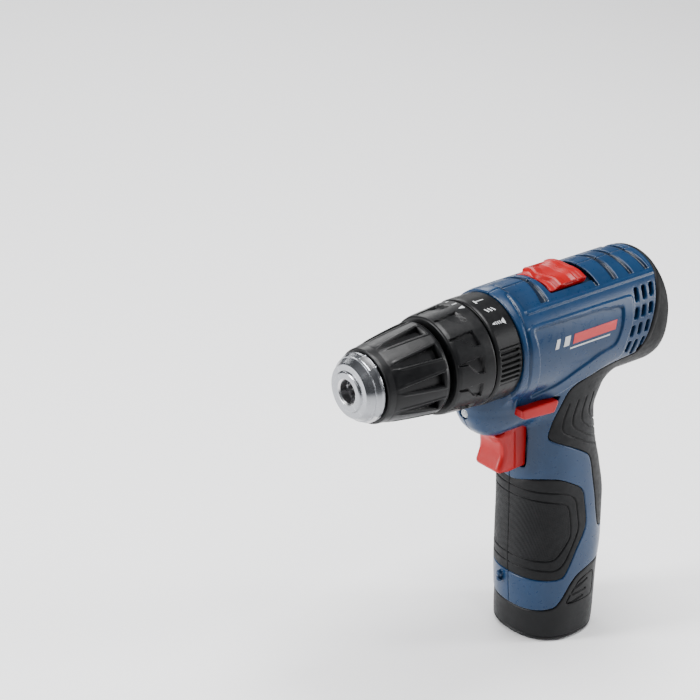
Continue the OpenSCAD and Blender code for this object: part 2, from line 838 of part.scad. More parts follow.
module battery_case() color([0.06, 0.06, 0.065])
  difference() {
    union() {
      translate([0, 0, 3.1]) linear_extrude(height = 70.4) cell_outline(cell_radius + 0.75);
      translate([0, 0, 73.4]) linear_extrude(height = 5.4)
        intersection() {
          cell_outline(cell_radius + 0.4);
          translate([-12, -12]) square([26, 24]);
        }
    }
    translate([0, 0, 4.2]) linear_extrude(height = 66.4) cell_outline(cell_radius + 0.15);
    for (y = [-7.5, -2.5, 2.5, 7.5])
      translate([-4, y - 0.9, 71.6]) cube([16, 1.8, 9]);
  }

module battery_cells() color([0.15, 0.45, 0.3])
  for (p = cell_spots)
    translate([p[0], p[1], 4.5]) {
      cylinder(h = cell_length, r = cell_radius - 0.05, $fn = 48);
      translate([0, 0, cell_length]) cylinder(h = 0.8, r = 3, $fn = 24);
    }

module battery_terminals() color([0.85, 0.75, 0.5])
  for (y = [-7.5, -2.5, 2.5, 7.5])
    translate([-2, y - 0.7, 71.7]) cube([10, 1.4, 5]);

module contact_block() color([0.1, 0.1, 0.11]) {
  translate([-12, -16.8, 80.2]) cube([27, 33.6, 4.2]);
  for (y = [-7.5, -2.5, 2.5, 7.5])
    translate([0, y - 0.3, 77.2]) cube([6, 0.6, 3.2]);
}

module power_leads() color([0.7, 0.1, 0.08])
  for (s = [-1, 1]) {
    translate([-1.2, s * 5, 84.5]) cylinder(h = 10.9, r = 0.9, $fn = 12);
    translate([-1, s * 4, 121.6]) cylinder(h = 23, r = 0.9, $fn = 12);
  }

housing_left();
housing_right();
front_grip_left();
front_grip_right();
back_grip_left();
back_grip_right();
housing_screws();
led_lens();
led_board();
trigger();
trigger_switch();
trigger_spring();
direction_switch();
gear_selector();
shift_fork();
shift_ring();
motor_can();
motor_magnets();
motor_end_cap();
motor_brushes();
rotor_shaft();
armature();
windings();
commutator();
sun_gear_1();
gear_case();
ring_gear_1();
ring_gear_3();
planet_1a();
planet_1b();
planet_1c();
carrier_1();
planets_2();
carrier_2();
planet_3a();
planet_3b();
planet_3c();
spindle();
spindle_bearings();
hammer_ratchet_fixed();
clutch_balls();
clutch_plate();
clutch_spring();
torque_ring();
mode_ring();
chuck_body();
chuck_jaw_1();
chuck_jaw_2();
chuck_jaw_3();
chuck_sleeve();
chuck_nut();
chuck_screw();
battery_cap();
battery_case();
battery_cells();
battery_terminals();
latch_left();
latch_right();
contact_block();
power_leads();
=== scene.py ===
"""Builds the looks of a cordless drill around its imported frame.

The moulded pieces (housing halves, grips, battery cap, latches, trigger, switches) are
surfaces of distance fields, cut and rounded in code. The round pieces (chuck, rings) are
turned profiles with their radius changed by patterns. Lengths in the fields are millimetres,
in the same frame as the CAD: X forward along the chuck, Y to the left, Z up from the base.
"""
import math

import bpy
import numpy as np
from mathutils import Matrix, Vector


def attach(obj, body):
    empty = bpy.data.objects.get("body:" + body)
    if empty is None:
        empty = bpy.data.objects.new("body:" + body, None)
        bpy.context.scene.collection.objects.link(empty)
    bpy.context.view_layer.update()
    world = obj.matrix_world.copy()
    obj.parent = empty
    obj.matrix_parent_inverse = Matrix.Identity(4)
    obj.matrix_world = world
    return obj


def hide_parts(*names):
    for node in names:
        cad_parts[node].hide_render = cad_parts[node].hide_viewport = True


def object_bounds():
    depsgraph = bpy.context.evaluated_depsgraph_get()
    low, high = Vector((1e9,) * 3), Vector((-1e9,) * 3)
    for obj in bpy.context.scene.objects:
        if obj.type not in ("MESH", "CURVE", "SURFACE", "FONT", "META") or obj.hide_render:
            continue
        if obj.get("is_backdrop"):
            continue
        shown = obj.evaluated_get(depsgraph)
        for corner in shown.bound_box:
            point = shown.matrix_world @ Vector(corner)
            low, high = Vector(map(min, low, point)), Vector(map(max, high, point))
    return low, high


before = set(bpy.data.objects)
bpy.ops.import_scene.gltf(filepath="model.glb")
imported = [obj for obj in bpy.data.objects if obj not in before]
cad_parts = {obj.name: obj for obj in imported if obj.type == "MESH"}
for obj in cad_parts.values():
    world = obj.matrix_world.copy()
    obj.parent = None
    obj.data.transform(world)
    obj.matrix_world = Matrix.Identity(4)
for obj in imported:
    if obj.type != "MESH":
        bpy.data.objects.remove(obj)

import openvdb
from mathutils import Matrix

CAD_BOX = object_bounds()
BIG = 1e3
PROBE = 0.04  # mm, the step for reading a field's slope
BLOCK = 8  # cells along each side of a block of the sampling grid
PRINT_RADIUS = 26.0  # mm, turns a print's arc length into an angle

# ---- sizes shared with the CAD (mm) ----

AXIS = 162.0
BARREL = 26.8
REAR = -48.7
COLLAR_END = 44.8
WALL = 2.4  # the housing's thickness
SKIN = 1.2  # the rubber's thickness
SPLIT = 0.05  # gap between the halves, on each side of the middle plane
OVAL_POWER = 2.35  # how square the handle's and the battery's sections are
SCREW_HOLE = 3.1

# height, front x, back x, half width
HANDLE = np.array([
    [0, 21.6, -21.6, 23.2], [12, 22.6, -22.3, 24.0], [30, 24.5, -23.8, 23.7],
    [50, 25.7, -26.3, 23.1], [70, 26.1, -26.3, 22.6], [88, 26.7, -23.0, 22.2],
    [104, 26.7, -19.0, 21.4], [120, 27.5, -17.0, 21.2], [131, 31.0, -21.0, 22.4],
    [140, 34.0, -27.0, 23.4]])
# x, radius above the axis, depth below it
TUBE = np.array([
    [REAR, 25.1, 27.2], [-46.2, 26.2, 29.2], [-41.7, 26.8, 30.0], [20, 26.8, 29.6],
    [36, 26.6, 27.6], [42, 26.3, 26.5], [COLLAR_END, 25.9, 25.9]])
# height, front x, half width
CHIN = np.array([
    [115.5, 46.5, 12.5], [119, 51.2, 14.8], [124, 55.4, 16.3], [131, 58.0, 17.4],
    [138, 58.0, 18.0]])
# height, front x, back x, half width
CAP = np.array([
    [0, 20.9, -20.9, 21.6], [0.6, 22.0, -21.8, 22.7], [2.2, 22.7, -22.3, 23.4],
    [12, 22.6, -22.5, 24.0], [30, 24.4, -23.8, 23.7], [40, 25.0, -25.0, 23.4]])

FRONT_GRIP = [(45, 84), (27, 85), (26.4, 87.6), (24.9, 89.5), (21.8, 90.5), (17.3, 90.6),
              (12.5, 89.6), (6.7, 86.5), (1.1, 83.1), (-1.6, 79.7), (-2.6, 74.3), (-4.2, 65),
              (-4.2, 60.5), (-2.6, 56.4), (1.6, 49.4), (5.6, 41.2), (8.8, 35.4), (12.7, 34.6),
              (45, 35.2)]
BACK_GRIP = [(-60, 200), (-45.6, 200), (-45.4, 185), (-44.4, 182), (-42.4, 179.3),
             (-40.6, 175.3), (-38.8, 170.8), (-37.1, 166.2), (-35.8, 161.9), (-34.2, 156.3),
             (-32.7, 152.1), (-30.8, 148), (-28.3, 146), (-24.4, 145.4), (-16.7, 144.7),
             (-5.4, 143.9), (5.4, 141.5), (10.6, 139.4), (13.6, 135.4), (16, 128.6),
             (17.9, 121.4), (19.4, 113.9), (18.7, 111.4), (15.8, 109.7), (10.4, 107.1),
             (1.6, 102.4), (-4.8, 98.1), (-6.5, 93.9), (-7.9, 85.2), (-9.6, 77.1),
             (-11.6, 65.1), (-13.7, 56.2), (-17.5, 54.4), (-60, 54.4)]
ABOVE_BATTERY = [(60, 15.4), (23, 16.4), (15.5, 18.1), (12, 19.7), (9.7, 23.1), (5.2, 30.6),
                 (1, 35), (-6.2, 37), (-12, 37.9), (-60, 38.4), (-60, 250), (90, 250)]
LATCH = [(-11.5, 20), (6.5, 20), (6.5, 22), (-0.5, 31.4), (-11.5, 33.6)]
LATCH_RIDGES = [((0.4, 32.9), (-9.6, 35.8)), ((2.7, 29.5), (-7.5, 31.8)),
                ((4.7, 26.2), (-6.4, 26.8)), ((6.3, 21.9), (-4.5, 23.6))]
GRIP_LOOPS = [
    [(45, 84.4), (22.8, 83.7), (13.5, 82.4), (7.2, 80.3), (3.4, 76.8), (1.1, 63.5),
     (1.2, 58.7), (8.5, 43.8), (12.8, 39.7), (21.3, 40.6), (45, 40.7)],
    [(45, 80.1), (22.7, 78.9), (14.2, 77.2), (8.7, 75.2), (7.1, 72.1), (5.5, 60.1),
     (6.4, 55.9), (12.3, 47.6), (15, 45.4), (21.5, 45.6), (45, 45.8)]]
BACK_LINES = [
    [(10.8, 130), (12.6, 122), (13.2, 116.8), (11.6, 114.0), (4, 109.2), (-11.6, 100.8), (-30, 95)],
    [(5.5, 130.5), (7.2, 122), (7.4, 117.6), (5.6, 115.2), (0, 111.2), (-13.1, 103.9), (-30, 98)],
    [(0.2, 131), (1.6, 122.6), (1.4, 118.6), (-0.4, 116.2), (-4, 113.4), (-14.0, 107.4), (-30, 102)],
    [(-5.0, 131.5), (-3.8, 123), (-4.4, 119.4), (-8, 115.6), (-15.4, 111), (-30, 106)]]
SCREWS = [(8, 136.3), (-31, 138), (-10, 114), (46.5, 124), (-16, 91), (5.5, 91)]


# ---- numbers and curves ----

def degrees_round(a):
    """Arc length on the barrel of an angle above the horizontal."""
    return math.radians(a) * BARREL


def around(pairs):
    """Points given as (x, angle in degrees) as points of the unrolled barrel."""
    return [(x, degrees_round(a)) for x, a in pairs]


def smooth_curve(v, keys, values):
    """A smooth curve through the keys that never overshoots them."""
    step = np.diff(keys)
    rise = np.diff(values) / step
    slope = np.zeros(len(keys))
    slope[0], slope[-1] = rise[0], rise[-1]
    a, b = rise[:-1], rise[1:]
    both = a * b > 0
    slope[1:-1][both] = (2 * a * b)[both] / (a + b)[both]
    i = np.clip(np.searchsorted(keys, v) - 1, 0, len(keys) - 2)
    t = np.clip((v - keys[i]) / step[i], 0, 1)
    low, high = values[i], values[i + 1]
    return (low + t * t * (3 - 2 * t) * (high - low)
            + step[i] * t * (1 - t) * ((1 - t) * slope[i] - t * slope[i + 1]))


def rounded(points, passes=2, keep=0.25):
    """Cuts the corners of a closed outline."""
    for _ in range(passes):
        out = []
        for a, b in zip(points, points[1:] + points[:1]):
            a, b = np.array(a, float), np.array(b, float)
            cut = min(keep, 1.6 / max(np.hypot(*(b - a)), 1e-6))
            out += [tuple(a + (b - a) * cut), tuple(b - (b - a) * cut)]
        points = out
    return points


def to_segment(u, v, a, b):
    ex, ey = b[0] - a[0], b[1] - a[1]
    t = np.clip(((u - a[0]) * ex + (v - a[1]) * ey) / (ex * ex + ey * ey + 1e-12), 0, 1)
    return np.hypot(u - a[0] - t * ex, v - a[1] - t * ey)


def to_line(u, v, points):
    """Distance to an open line through the points."""
    best = np.full(np.shape(u), BIG)
    for a, b in zip(points, points[1:]):
        best = np.minimum(best, to_segment(u, v, a, b))
    return best


def to_outline(u, v, points):
    """Distance to a closed outline, negative inside it."""
    best = np.full(np.shape(u), BIG)
    inside = np.zeros(np.shape(u), bool)
    for a, b in zip(points, points[1:] + points[:1]):
        best = np.minimum(best, to_segment(u, v, a, b))
        run = b[1] - a[1]
        if abs(run) > 1e-9:
            crossed = (a[1] > v) != (b[1] > v)
            inside ^= crossed & (u < a[0] + (v - a[1]) * (b[0] - a[0]) / run)
    return np.where(inside, -best, best)


def step_up(d, half):
    """0 where d is above half, 1 below -half, and smooth between."""
    t = np.clip(0.5 - d / (2 * half), 0, 1)
    return t * t * (3 - 2 * t)


def smooth_min(a, b, k):
    t = np.clip(0.5 + 0.5 * (b - a) / k, 0, 1)
    return b + t * (a - b) - k * t * (1 - t)


def smooth_max(a, b, k):
    return -smooth_min(-a, -b, k)


class Chart:
    """A function of two lengths, kept on a grid so that it can be read quickly."""

    def __init__(self, make, low, high, step=0.2):
        self.low, self.step = low, step
        axes = [np.arange(l, h + step, step) for l, h in zip(low, high)]
        self.grid = make(*np.meshgrid(*axes, indexing="ij")).astype(np.float32)

    def __call__(self, u, v):
        a = np.clip((u - self.low[0]) / self.step, 0, self.grid.shape[0] - 1.01)
        b = np.clip((v - self.low[1]) / self.step, 0, self.grid.shape[1] - 1.01)
        i, j = a.astype(np.int32), b.astype(np.int32)
        a, b, g = a - i, b - j, self.grid
        return ((g[i, j] * (1 - a) + g[i + 1, j] * a) * (1 - b)
                + (g[i, j + 1] * (1 - a) + g[i + 1, j + 1] * a) * b)


def side_chart(make):
    return Chart(make, (-56, 0), (66, 200))


def wrap_chart(make):
    return Chart(make, (-56, -46), (50, 46))


# ---- the drill's outer form ----

def oval(u, v, a, b, n):
    """Distance to a rounded oval, measured along the ray from its centre."""
    q = ((np.abs(u) / a) ** n + (np.abs(v) / b) ** n) ** (1 / n)
    return np.hypot(u, v) * (1 - 1 / np.maximum(q, 1e-3))


def column(sections, x, y, z):
    front = smooth_curve(z, sections[:, 0], sections[:, 1])
    back = smooth_curve(z, sections[:, 0], sections[:, 2])
    half = smooth_curve(z, sections[:, 0], sections[:, 3])
    return oval(x - (front + back) / 2, y, (front - back) / 2, half, OVAL_POWER)


def barrel(x, y, z):
    up = z - AXIS
    radius = smooth_curve(x, TUBE[:, 0], TUBE[:, 1])
    depth = smooth_curve(x, TUBE[:, 0], TUBE[:, 2])
    round_top = np.hypot(y, up) - radius
    belly = oval(y, up, radius, depth, 2.3)
    d = np.where(up > 0, round_top, belly)
    return np.maximum(smooth_max(d, REAR - x, 2.0), x - COLLAR_END)


def chin(x, y, z):
    front = smooth_curve(z, CHIN[:, 0], CHIN[:, 1])
    half = smooth_curve(z, CHIN[:, 0], CHIN[:, 2])
    d = oval(np.maximum(x - 20, 0), y, front - 20, half, 2.6)
    keel = 115.8 + 0.036 * np.minimum(y * y, 260) - z
    return smooth_max(np.maximum(np.maximum(d, z - 141), 4 - x), keel * 0.85, 2.5)


def outer(x, y, z):
    d = np.maximum(column(HANDLE, x, y, z), z - 150)
    d = smooth_min(d, barrel(x, y, z), 5.0)
    return smooth_min(d, chin(x, y, z), 3.5)


# ---- relief of the side panels, drawn on the unrolled barrel ----

def collar_edge(s):
    angle = np.degrees(s / BARREL)
    return np.interp(angle, [-60, -33, -1, 31, 61, 76, 80, 90],
                     [40.2, 41.3, 42.9, 42.6, 41.5, 40.6, 38.6, 38.4])


FRAME_OUT = around([(41, 34.0), (-4.6, 33.6), (-24.2, 32.8), (-25.1, 29.8), (-23.8, 17.9),
                    (-22.2, 4.4), (-19.5, -11.8), (-19.0, -26.8), (-17.2, -32.4), (-11.1, -33.3),
                    (12, -42), (34, -66), (41, -68)])
FRAME_IN = around([(37.6, 31), (-3.6, 28.6), (-17, 25.1), (-17.7, 22.8), (-16.6, 10.8),
                   (-14.9, -2.1), (-12.2, -14.2), (-2.6, -17.2), (11.4, -28), (33.4, -54)])
TOP_GROOVES = [
    [(22.6, 100), (21.0, 100), (21.2, 86), (22.5, 54.6), (26.4, 54.6), (23.4, 84)],
    [(-4.0, 90), (-4.9, 90), (-8.6, 82), (-8.9, 70), (-9.2, 53.4), (-8.0, 53.4), (-7.6, 82)],
    [(-20.4, 100), (-22.4, 100), (-22.2, 80), (-21.5, 54.2), (-18.9, 54.2), (-19.8, 80)],
    [(-29.0, 100), (-30.8, 100), (-31.9, 54.2), (-29.7, 54.2)],
    [(-38.6, 100), (-40.0, 100), (-41.9, 54), (-39.9, 54)]]


def barrel_relief(x, s):
    collar = step_up(collar_edge(s) - x, 0.35)
    groove = step_up(np.abs(x - collar_edge(s) + 0.9) - 0.35, 0.3)
    length = step_up(x - 37.6, 0.3) * step_up(-43.6 - x, 0.3)
    top = step_up(degrees_round(51) - s, 0.3) * length
    rail = step_up(np.abs(s - degrees_round(48.8)) - 1.0, 0.3) * length
    plate = step_up(to_outline(x, s, rounded(FRAME_OUT)), 0.3)
    well = step_up(to_outline(x, s, rounded(FRAME_IN)), 0.3)
    cuts = np.zeros_like(x)
    for outline in TOP_GROOVES:
        cuts = np.maximum(cuts, step_up(to_outline(x, s, around(outline)) - 0.1, 0.35))
    depth = 0.45 * collar - 0.5 * groove - 0.3 * top + 0.45 * rail + 0.5 * plate
    return depth - 0.95 * well - 1.1 * cuts


# top x and angle, then bottom x and angle
VENTS_AT = [
    (-28.6, 38.5, -27.1, 24), (-33.6, 38.6, -32, 24.5), (-38.6, 39.2, -36.7, 25.5),
    (-26.3, 18.5, -24.7, 6.6), (-30.9, 19.2, -29.3, 7.3), (-35.6, 19.8, -34.1, 8.2),
    (-23.7, 1, -22.1, -11.2), (-28.2, 2.1, -27.1, -10.8), (-33.1, 2.6, -31.8, -10.2),
    (-22.2, -15.7, -21, -28.4), (-26.6, -16.2, -25, -33.4), (-31.2, -15.5, -29.4, -31.9)]


def vent_cuts(x, s):
    best = np.full_like(x, BIG)
    for x0, a0, x1, a1 in VENTS_AT:
        slot = around([(x0 - 1.15, a0), (x0 + 1.15, a0), (x1 + 1.15, a1), (x1 - 1.15, a1)])
        best = np.minimum(best, to_outline(x, s, rounded(slot, 1, 0.15)))
    return best


def front_outline(x, z):
    return to_outline(x, z, rounded(FRONT_GRIP))


def back_outline(x, z):
    return to_outline(x, z, rounded(BACK_GRIP))


def battery_outline(x, z):
    return to_outline(x, z, rounded(ABOVE_BATTERY))


def grip_relief(x, z):
    """Contour grooves of the front grip, and a fine weave inside the inner one."""
    cut = np.zeros_like(x)
    for loop in GRIP_LOOPS:
        line = rounded(loop, 2)
        cut = np.maximum(cut, step_up(np.abs(to_outline(x, z, line)) - 0.3, 0.28))
    inside = step_up(to_outline(x, z, rounded(GRIP_LOOPS[1])) + 0.8, 0.3)
    weave = np.sin(x * 4.2 + z * 2.4) * np.sin(z * 4.2 - x * 2.4)
    return 0.12 * inside * weave - 0.1 * inside - 0.6 * cut


def back_relief(x, z):
    cut = np.zeros_like(x)
    for line in BACK_LINES:
        cut = np.maximum(cut, step_up(to_line(x, z, line) - 0.32, 0.28))
    band = step_up(np.abs(to_outline(x, z, rounded(BACK_GRIP)) + 1.7) - 0.75, 0.35)
    return 0.22 * band * step_up(152 - z, 4) - 0.6 * cut


RELIEF = wrap_chart(barrel_relief)
VENTS = wrap_chart(vent_cuts)
FRONT = side_chart(front_outline)
BACK = side_chart(back_outline)
BATTERY = side_chart(battery_outline)
GRIP_RELIEF = Chart(grip_relief, (-8, 30), (46, 92), 0.12)
BACK_RELIEF = side_chart(back_relief)


def arc(y, z):
    return np.arctan2(z - AXIS, np.abs(y)) * BARREL


def on_barrel(x, y, z):
    """1 on the barrel, 0 on the handle and the chin under it."""
    return np.clip((z - 131.5) / 3, 0, 1) * np.clip((z - AXIS + 40 - 0.05 * x) / 3, 0, 1)


# ---- cutters ----

def block(x, y, z, low, high, r=0.0):
    """Distance to a box with rounded edges."""
    c = [(a + b) / 2 for a, b in zip(low, high)]
    e = [(b - a) / 2 - r for a, b in zip(low, high)]
    q = [np.abs(p - m) - h for p, m, h in zip((x, y, z), c, e)]
    out = np.sqrt(sum(np.maximum(v, 0) ** 2 for v in q))
    return out + np.minimum(np.maximum(q[0], np.maximum(q[1], q[2])), 0) - r


def drum(x, y, z, x0, x1, r):
    return np.maximum(np.hypot(y, z - AXIS) - r, np.maximum(x0 - x, x - x1))


def prism(x, y, z, points, half, soft=0.0):
    """A side outline made half wide each side, with softened edges."""
    d = to_outline(x, z, points)
    return smooth_max(d, np.abs(y) - half, soft) if soft else np.maximum(d, np.abs(y) - half)


def bevel(surface, edge, size):
    """Takes the corner off where a surface meets an edge."""
    return np.maximum(surface, (surface + edge + size) * 0.7071)


# ---- moulded pieces as fields, negative inside ----

def housing_cuts(f, skin, x, y, z):
    w = np.abs(y)
    window = block(x, y, z, (20.6, -9.15, 95.4), (60, 9.15, 119.2), 1.6)
    f = np.maximum(f, -window)
    slot = prism(x, w, z, [(16.6, 135.6), (20.2, 128.0), (42.0, 129.3), (42.4, 135.4)], 60)
    f = np.maximum(f, -np.maximum(slot, 17.6 - w))
    f = np.maximum(f, -block(x, y, z, (-9.4, -12.9, 180), (18.1, 12.9, 200), 0.6))
    f = np.maximum(f, -drum(x, y, z, 36, 50, 21.2))
    lamp = np.maximum(np.hypot(y, z - 130.4) - 2.9, 50 - x)
    f = np.maximum(f, -lamp)
    vents = np.maximum(VENTS(x, arc(y, z)), -(skin + 5))
    f = np.maximum(f, -np.where(z > 138, vents, BIG))
    foot = np.maximum(oval(x, y, 20.6, 20.9, OVAL_POWER), z - 42)
    return np.maximum(f, -foot)


def lug(x, y, z):
    """A small eyelet for a wrist strap, low on the handle's front."""
    body = block(x, y, z, (23.2, -6.8, 27), (26.9, -3.8, 32.8), 1.2)
    return smooth_max(body, 1.1 - np.hypot(x - 25.4, z - 29.9), 0.4)


def housing(side):
    """One half of the housing; side is 1 on the left and -1 on the right."""
    def field(x, y, z):
        skin = outer(x, y, z)
        relief = RELIEF(x, arc(y, z)) * on_barrel(x, y, z)
        f = skin - relief
        f = bevel(f, BATTERY(x, z), 0.5)
        f = np.maximum(f, BATTERY(x, z))
        rubber = np.minimum(FRONT(x, z), BACK(x, z))
        f = bevel(f, -rubber, 0.35)
        f = np.maximum(f, -np.maximum(rubber, -(skin + SKIN)))
        inside = np.maximum(skin + WALL, REAR + WALL - x)
        f = np.maximum(f, -inside)
        f = housing_cuts(f, skin, x, y, z)
        f = np.minimum(f, lug(x, y, z))
        if side < 0:
            for sx, sz in SCREWS:
                hole = np.hypot(x - sx, z - sz) - SCREW_HOLE
                f = bevel(f, -hole, 0.3)
                f = np.maximum(f, -np.maximum(hole, y + 9))
                tower = np.maximum(np.abs(hole - 0.55) - 0.55, y + 3)
                f = np.minimum(f, np.maximum(tower, skin + 1.3))
        f = bevel(f, SPLIT - side * y, 0.3)
        return np.maximum(f, SPLIT - side * y)
    return field


def grip(side, front):
    """A rubber skin of one half, in front of the handle or behind it."""
    def field(x, y, z):
        skin = outer(x, y, z)
        edge = (FRONT if front else BACK)(x, z) + 0.12
        if front:
            f = skin - GRIP_RELIEF(x, z)
        else:
            f = skin - BACK_RELIEF(x, z)
        f = bevel(f, edge, 0.5)
        f = np.maximum(f, np.maximum(edge, -(skin + SKIN - 0.05)))
        f = housing_cuts(f, skin, x, y, z)
        if side < 0:
            for sx, sz in SCREWS:
                f = np.maximum(f, -(np.hypot(x - sx, z - sz) - SCREW_HOLE))
        f = bevel(f, SPLIT - side * y, 0.25)
        return np.maximum(f, SPLIT - side * y)
    return field


def cap_form(x, y, z):
    """The battery's outer skin, which stands on the floor."""
    d = column(CAP, x, y, z)
    return np.maximum(d, -z)


def battery_cap(x, y, z):
    f = cap_form(x, y, z)
    edge = 0.25 - BATTERY(x, z)
    f = bevel(f, edge, 0.5)
    f = np.maximum(f, edge)
    f = np.maximum(f, -np.maximum(oval(x, y, 19.9, 20.2, OVAL_POWER), 3.0 - z))
    latch = LATCH_CHART(x, z) - 0.25
    f = bevel(f, -latch, 0.3)
    f = np.maximum(f, -latch)
    line = np.abs(z - 2.6) - 0.25
    return np.maximum(f, -np.maximum(line, -(cap_form(x, y, z) + 0.35)))


def latch_outline(x, z):
    return to_outline(x, z, rounded(LATCH, 2))


LATCH_CHART = side_chart(latch_outline)


def latch(x, y, z):
    skin = cap_form(x, y, z)
    f = skin
    for a, b in LATCH_RIDGES:
        a, b = (a[0] - 1.2, a[1] - 1.5), (b[0] + 1.2, b[1] - 1.5)
        d = to_segment(x, z, a, b)
        f = f + 0.7 * step_up(d - 0.55, 0.35)
    edge = LATCH_CHART(x, z)
    f = bevel(f, edge, 0.4)
    f = np.maximum(f, edge)
    f = np.maximum(f, -oval(x, y, 22.0, 21.7, OVAL_POWER))
    return np.maximum(f, 3 - y)


PAD_SIDE = [(43.6, 117.6), (38, 118.6), (31.4, 118.6), (31.0, 108), (30.2, 96.1),
            (40.4, 96.0), (42.2, 97.6), (41.6, 100), (39.7, 104.5), (39.4, 108),
            (40.6, 112.5), (43.6, 115.6)]
PLATE_SIDE = [(40, 118.7), (26.2, 118.7), (23.2, 117.6), (21.6, 114.6), (21.4, 98.2),
              (22.4, 96.9), (31, 96.3), (38, 96.3)]


def trigger(x, y, z):
    """A rounded finger pad in front of a narrower plate that closes the slot."""
    w = np.abs(y)
    pad = to_outline(x, z, rounded(PAD_SIDE, 3, 0.3))
    f = smooth_max(pad, w - 8.9, 3.0)
    plate = smooth_max(to_outline(x, z, rounded(PLATE_SIDE, 2, 0.2)), w - 8.3, 0.5)
    plate = np.maximum(plate, -np.maximum(w - 7.0, x - 26.5))
    f = smooth_min(f, plate, 0.5)
    spring_pocket = np.maximum(np.hypot(y, z - 112) - 3.8, x - 32.6)
    return np.maximum(np.maximum(f, -spring_pocket), z - 118.8)


SWITCH_SIDE = [(18.2, 134.9), (21.0, 129.0), (22.0, 128.8), (40.2, 129.9), (40.8, 134.6),
               (40.2, 135.1)]


def direction_switch(x, y, z):
    w = np.abs(y)
    d = to_outline(x, z, rounded(SWITCH_SIDE, 2, 0.2))
    lean = 0.06 * (x - 30) * step_up(15 - w, 3)
    f = smooth_max(d, w - 22.3 + lean, 1.0)
    return np.maximum(f, -block(x, y, z, (10, -16, 120), (24, 16, 140)))


def selector(x, y, z):
    """A saddle: a high rear end with a lip, a thumb hollow, a front bump and a low toe."""
    r = np.hypot(y, z - AXIS)
    angle = np.degrees(np.arctan2(np.abs(y), z - AXIS))
    slid = x - 2.8 * step_up(angle - 9, 9) * np.clip((x - 3) / 6, 0, 1)
    high = np.interp(slid, [-4.6, -4.2, -3, -1.3, -0.5, 0.4, 1.2, 3.5, 7.5, 9.5, 11.2, 12.6,
                            13.6, 14.4, 16.8, 17.6],
                     [27.3, 28.6, 29.1, 29.0, 28.4, 27.9, 28.1, 27.4, 27.4, 28.2, 28.7, 28.3,
                      26.8, 26.6, 26.5, 26.2])
    high = high - 0.9 * step_up(angle - 9, 9)
    border = 28.5 * step_up(np.abs(angle - 25.2) - 1.2, 0.7) * step_up(x - 11.5, 0.8)
    top = (r - np.maximum(high, border)) * 0.8
    f = smooth_max(top, np.maximum(-4.6 - x, x - 16.9 - 0.7 * step_up(22 - angle, 6)), 0.6)
    f = smooth_max(f, (angle - 26.6) * 0.48, 0.5)
    return np.maximum(f, 25.3 - r)


def apron(x, y, z):
    """The thin plate under the slide that keeps its slot closed."""
    r = np.hypot(y, z - AXIS)
    angle = np.degrees(np.arctan2(np.abs(y), z - AXIS))
    f = np.maximum(np.abs(r - 23.75) - 0.4, (angle - 30) * 0.41)
    return np.maximum(f, np.maximum(-14.5 - x, x - 20))


# ---- surfaces from fields ----

def sample_field(field, low, high, h):
    """The field on a grid, read finely only in the blocks near the surface."""
    count = [int(math.ceil((b - a) / (h * BLOCK))) + 1 for a, b in zip(low, high)]
    centre = [a + (np.arange(n) + 0.5) * BLOCK * h - h / 2 for a, n in zip(low, count)]
    cx, cy, cz = np.meshgrid(*centre, indexing="ij")
    coarse = field(cx.ravel(), cy.ravel(), cz.ravel()).reshape(cx.shape)
    grid = np.repeat(np.repeat(np.repeat(coarse, BLOCK, 0), BLOCK, 1), BLOCK, 2)
    grid = grid.astype(np.float32)
    reach = BLOCK * h * 0.95 + 1.2
    near = np.argwhere(np.abs(coarse) < reach)
    offset = np.stack(np.meshgrid(*[np.arange(BLOCK)] * 3, indexing="ij"), -1).reshape(-1, 3)
    for part in np.array_split(near, max(1, len(near) // 1500)):
        index = (part[:, None, :] * BLOCK + offset[None]).reshape(-1, 3)
        p = np.array(low) + index * h
        grid[index[:, 0], index[:, 1], index[:, 2]] = field(p[:, 0], p[:, 1], p[:, 2])
    return grid


def slope_at(field, p):
    """The field at some points, and how it rises along each axis."""
    f = field(p[:, 0], p[:, 1], p[:, 2])
    rise = np.stack([field(*(p + d)[:, :3].T) - f for d in np.eye(3) * PROBE], -1)
    return f, rise


def pull_to_surface(field, p, h):
    """Moves points onto the field's zero, along its slope."""
    for _ in range(2):
        f, rise = slope_at(field, p)
        g = rise / PROBE
        move = -(f / np.maximum((g * g).sum(1), 0.25))[:, None] * g
        length = np.maximum(np.linalg.norm(move, axis=1, keepdims=True), 1e-9)
        p = p + move * np.minimum(1, 0.5 * h / length)
    return p


def relax(field, p, quads):
    """Evens out the faces where the surface is smooth, and leaves its edges alone."""
    g = slope_at(field, p)[1]
    g /= np.maximum(np.linalg.norm(g, axis=1, keepdims=True), 1e-9)
    a, b = np.concatenate([quads[:, [i, (i + 1) % 4]] for i in range(4)]).T
    worst = np.ones(len(p))
    np.minimum.at(worst, a, (g[a] * g[b]).sum(1))
    np.minimum.at(worst, b, (g[a] * g[b]).sum(1))
    ends = np.concatenate([a, b])
    count = np.maximum(np.bincount(ends, minlength=len(p)), 1)
    for _ in range(4):
        far = p[np.concatenate([b, a])]
        middle = np.stack([np.bincount(ends, far[:, k], len(p)) for k in range(3)], -1)
        move = middle / count[:, None] - p
        p = p + np.where(worst > 0.9, 0.6, 0.0)[:, None] * move
    return p


def field_piece(name, field, low, high, h):
    grid = sample_field(field, low, high, h)
    vdb = openvdb.FloatGrid(BIG)
    vdb.copyFromArray(np.clip(grid, -4 * h, 4 * h))
    points, quads = vdb.convertToQuads()
    points = points.astype(np.float64) * h + np.array(low)
    points = relax(field, pull_to_surface(field, points, h), quads)
    points = pull_to_surface(field, points, h)
    return mesh_piece(name, points, facing_out(points, quads))


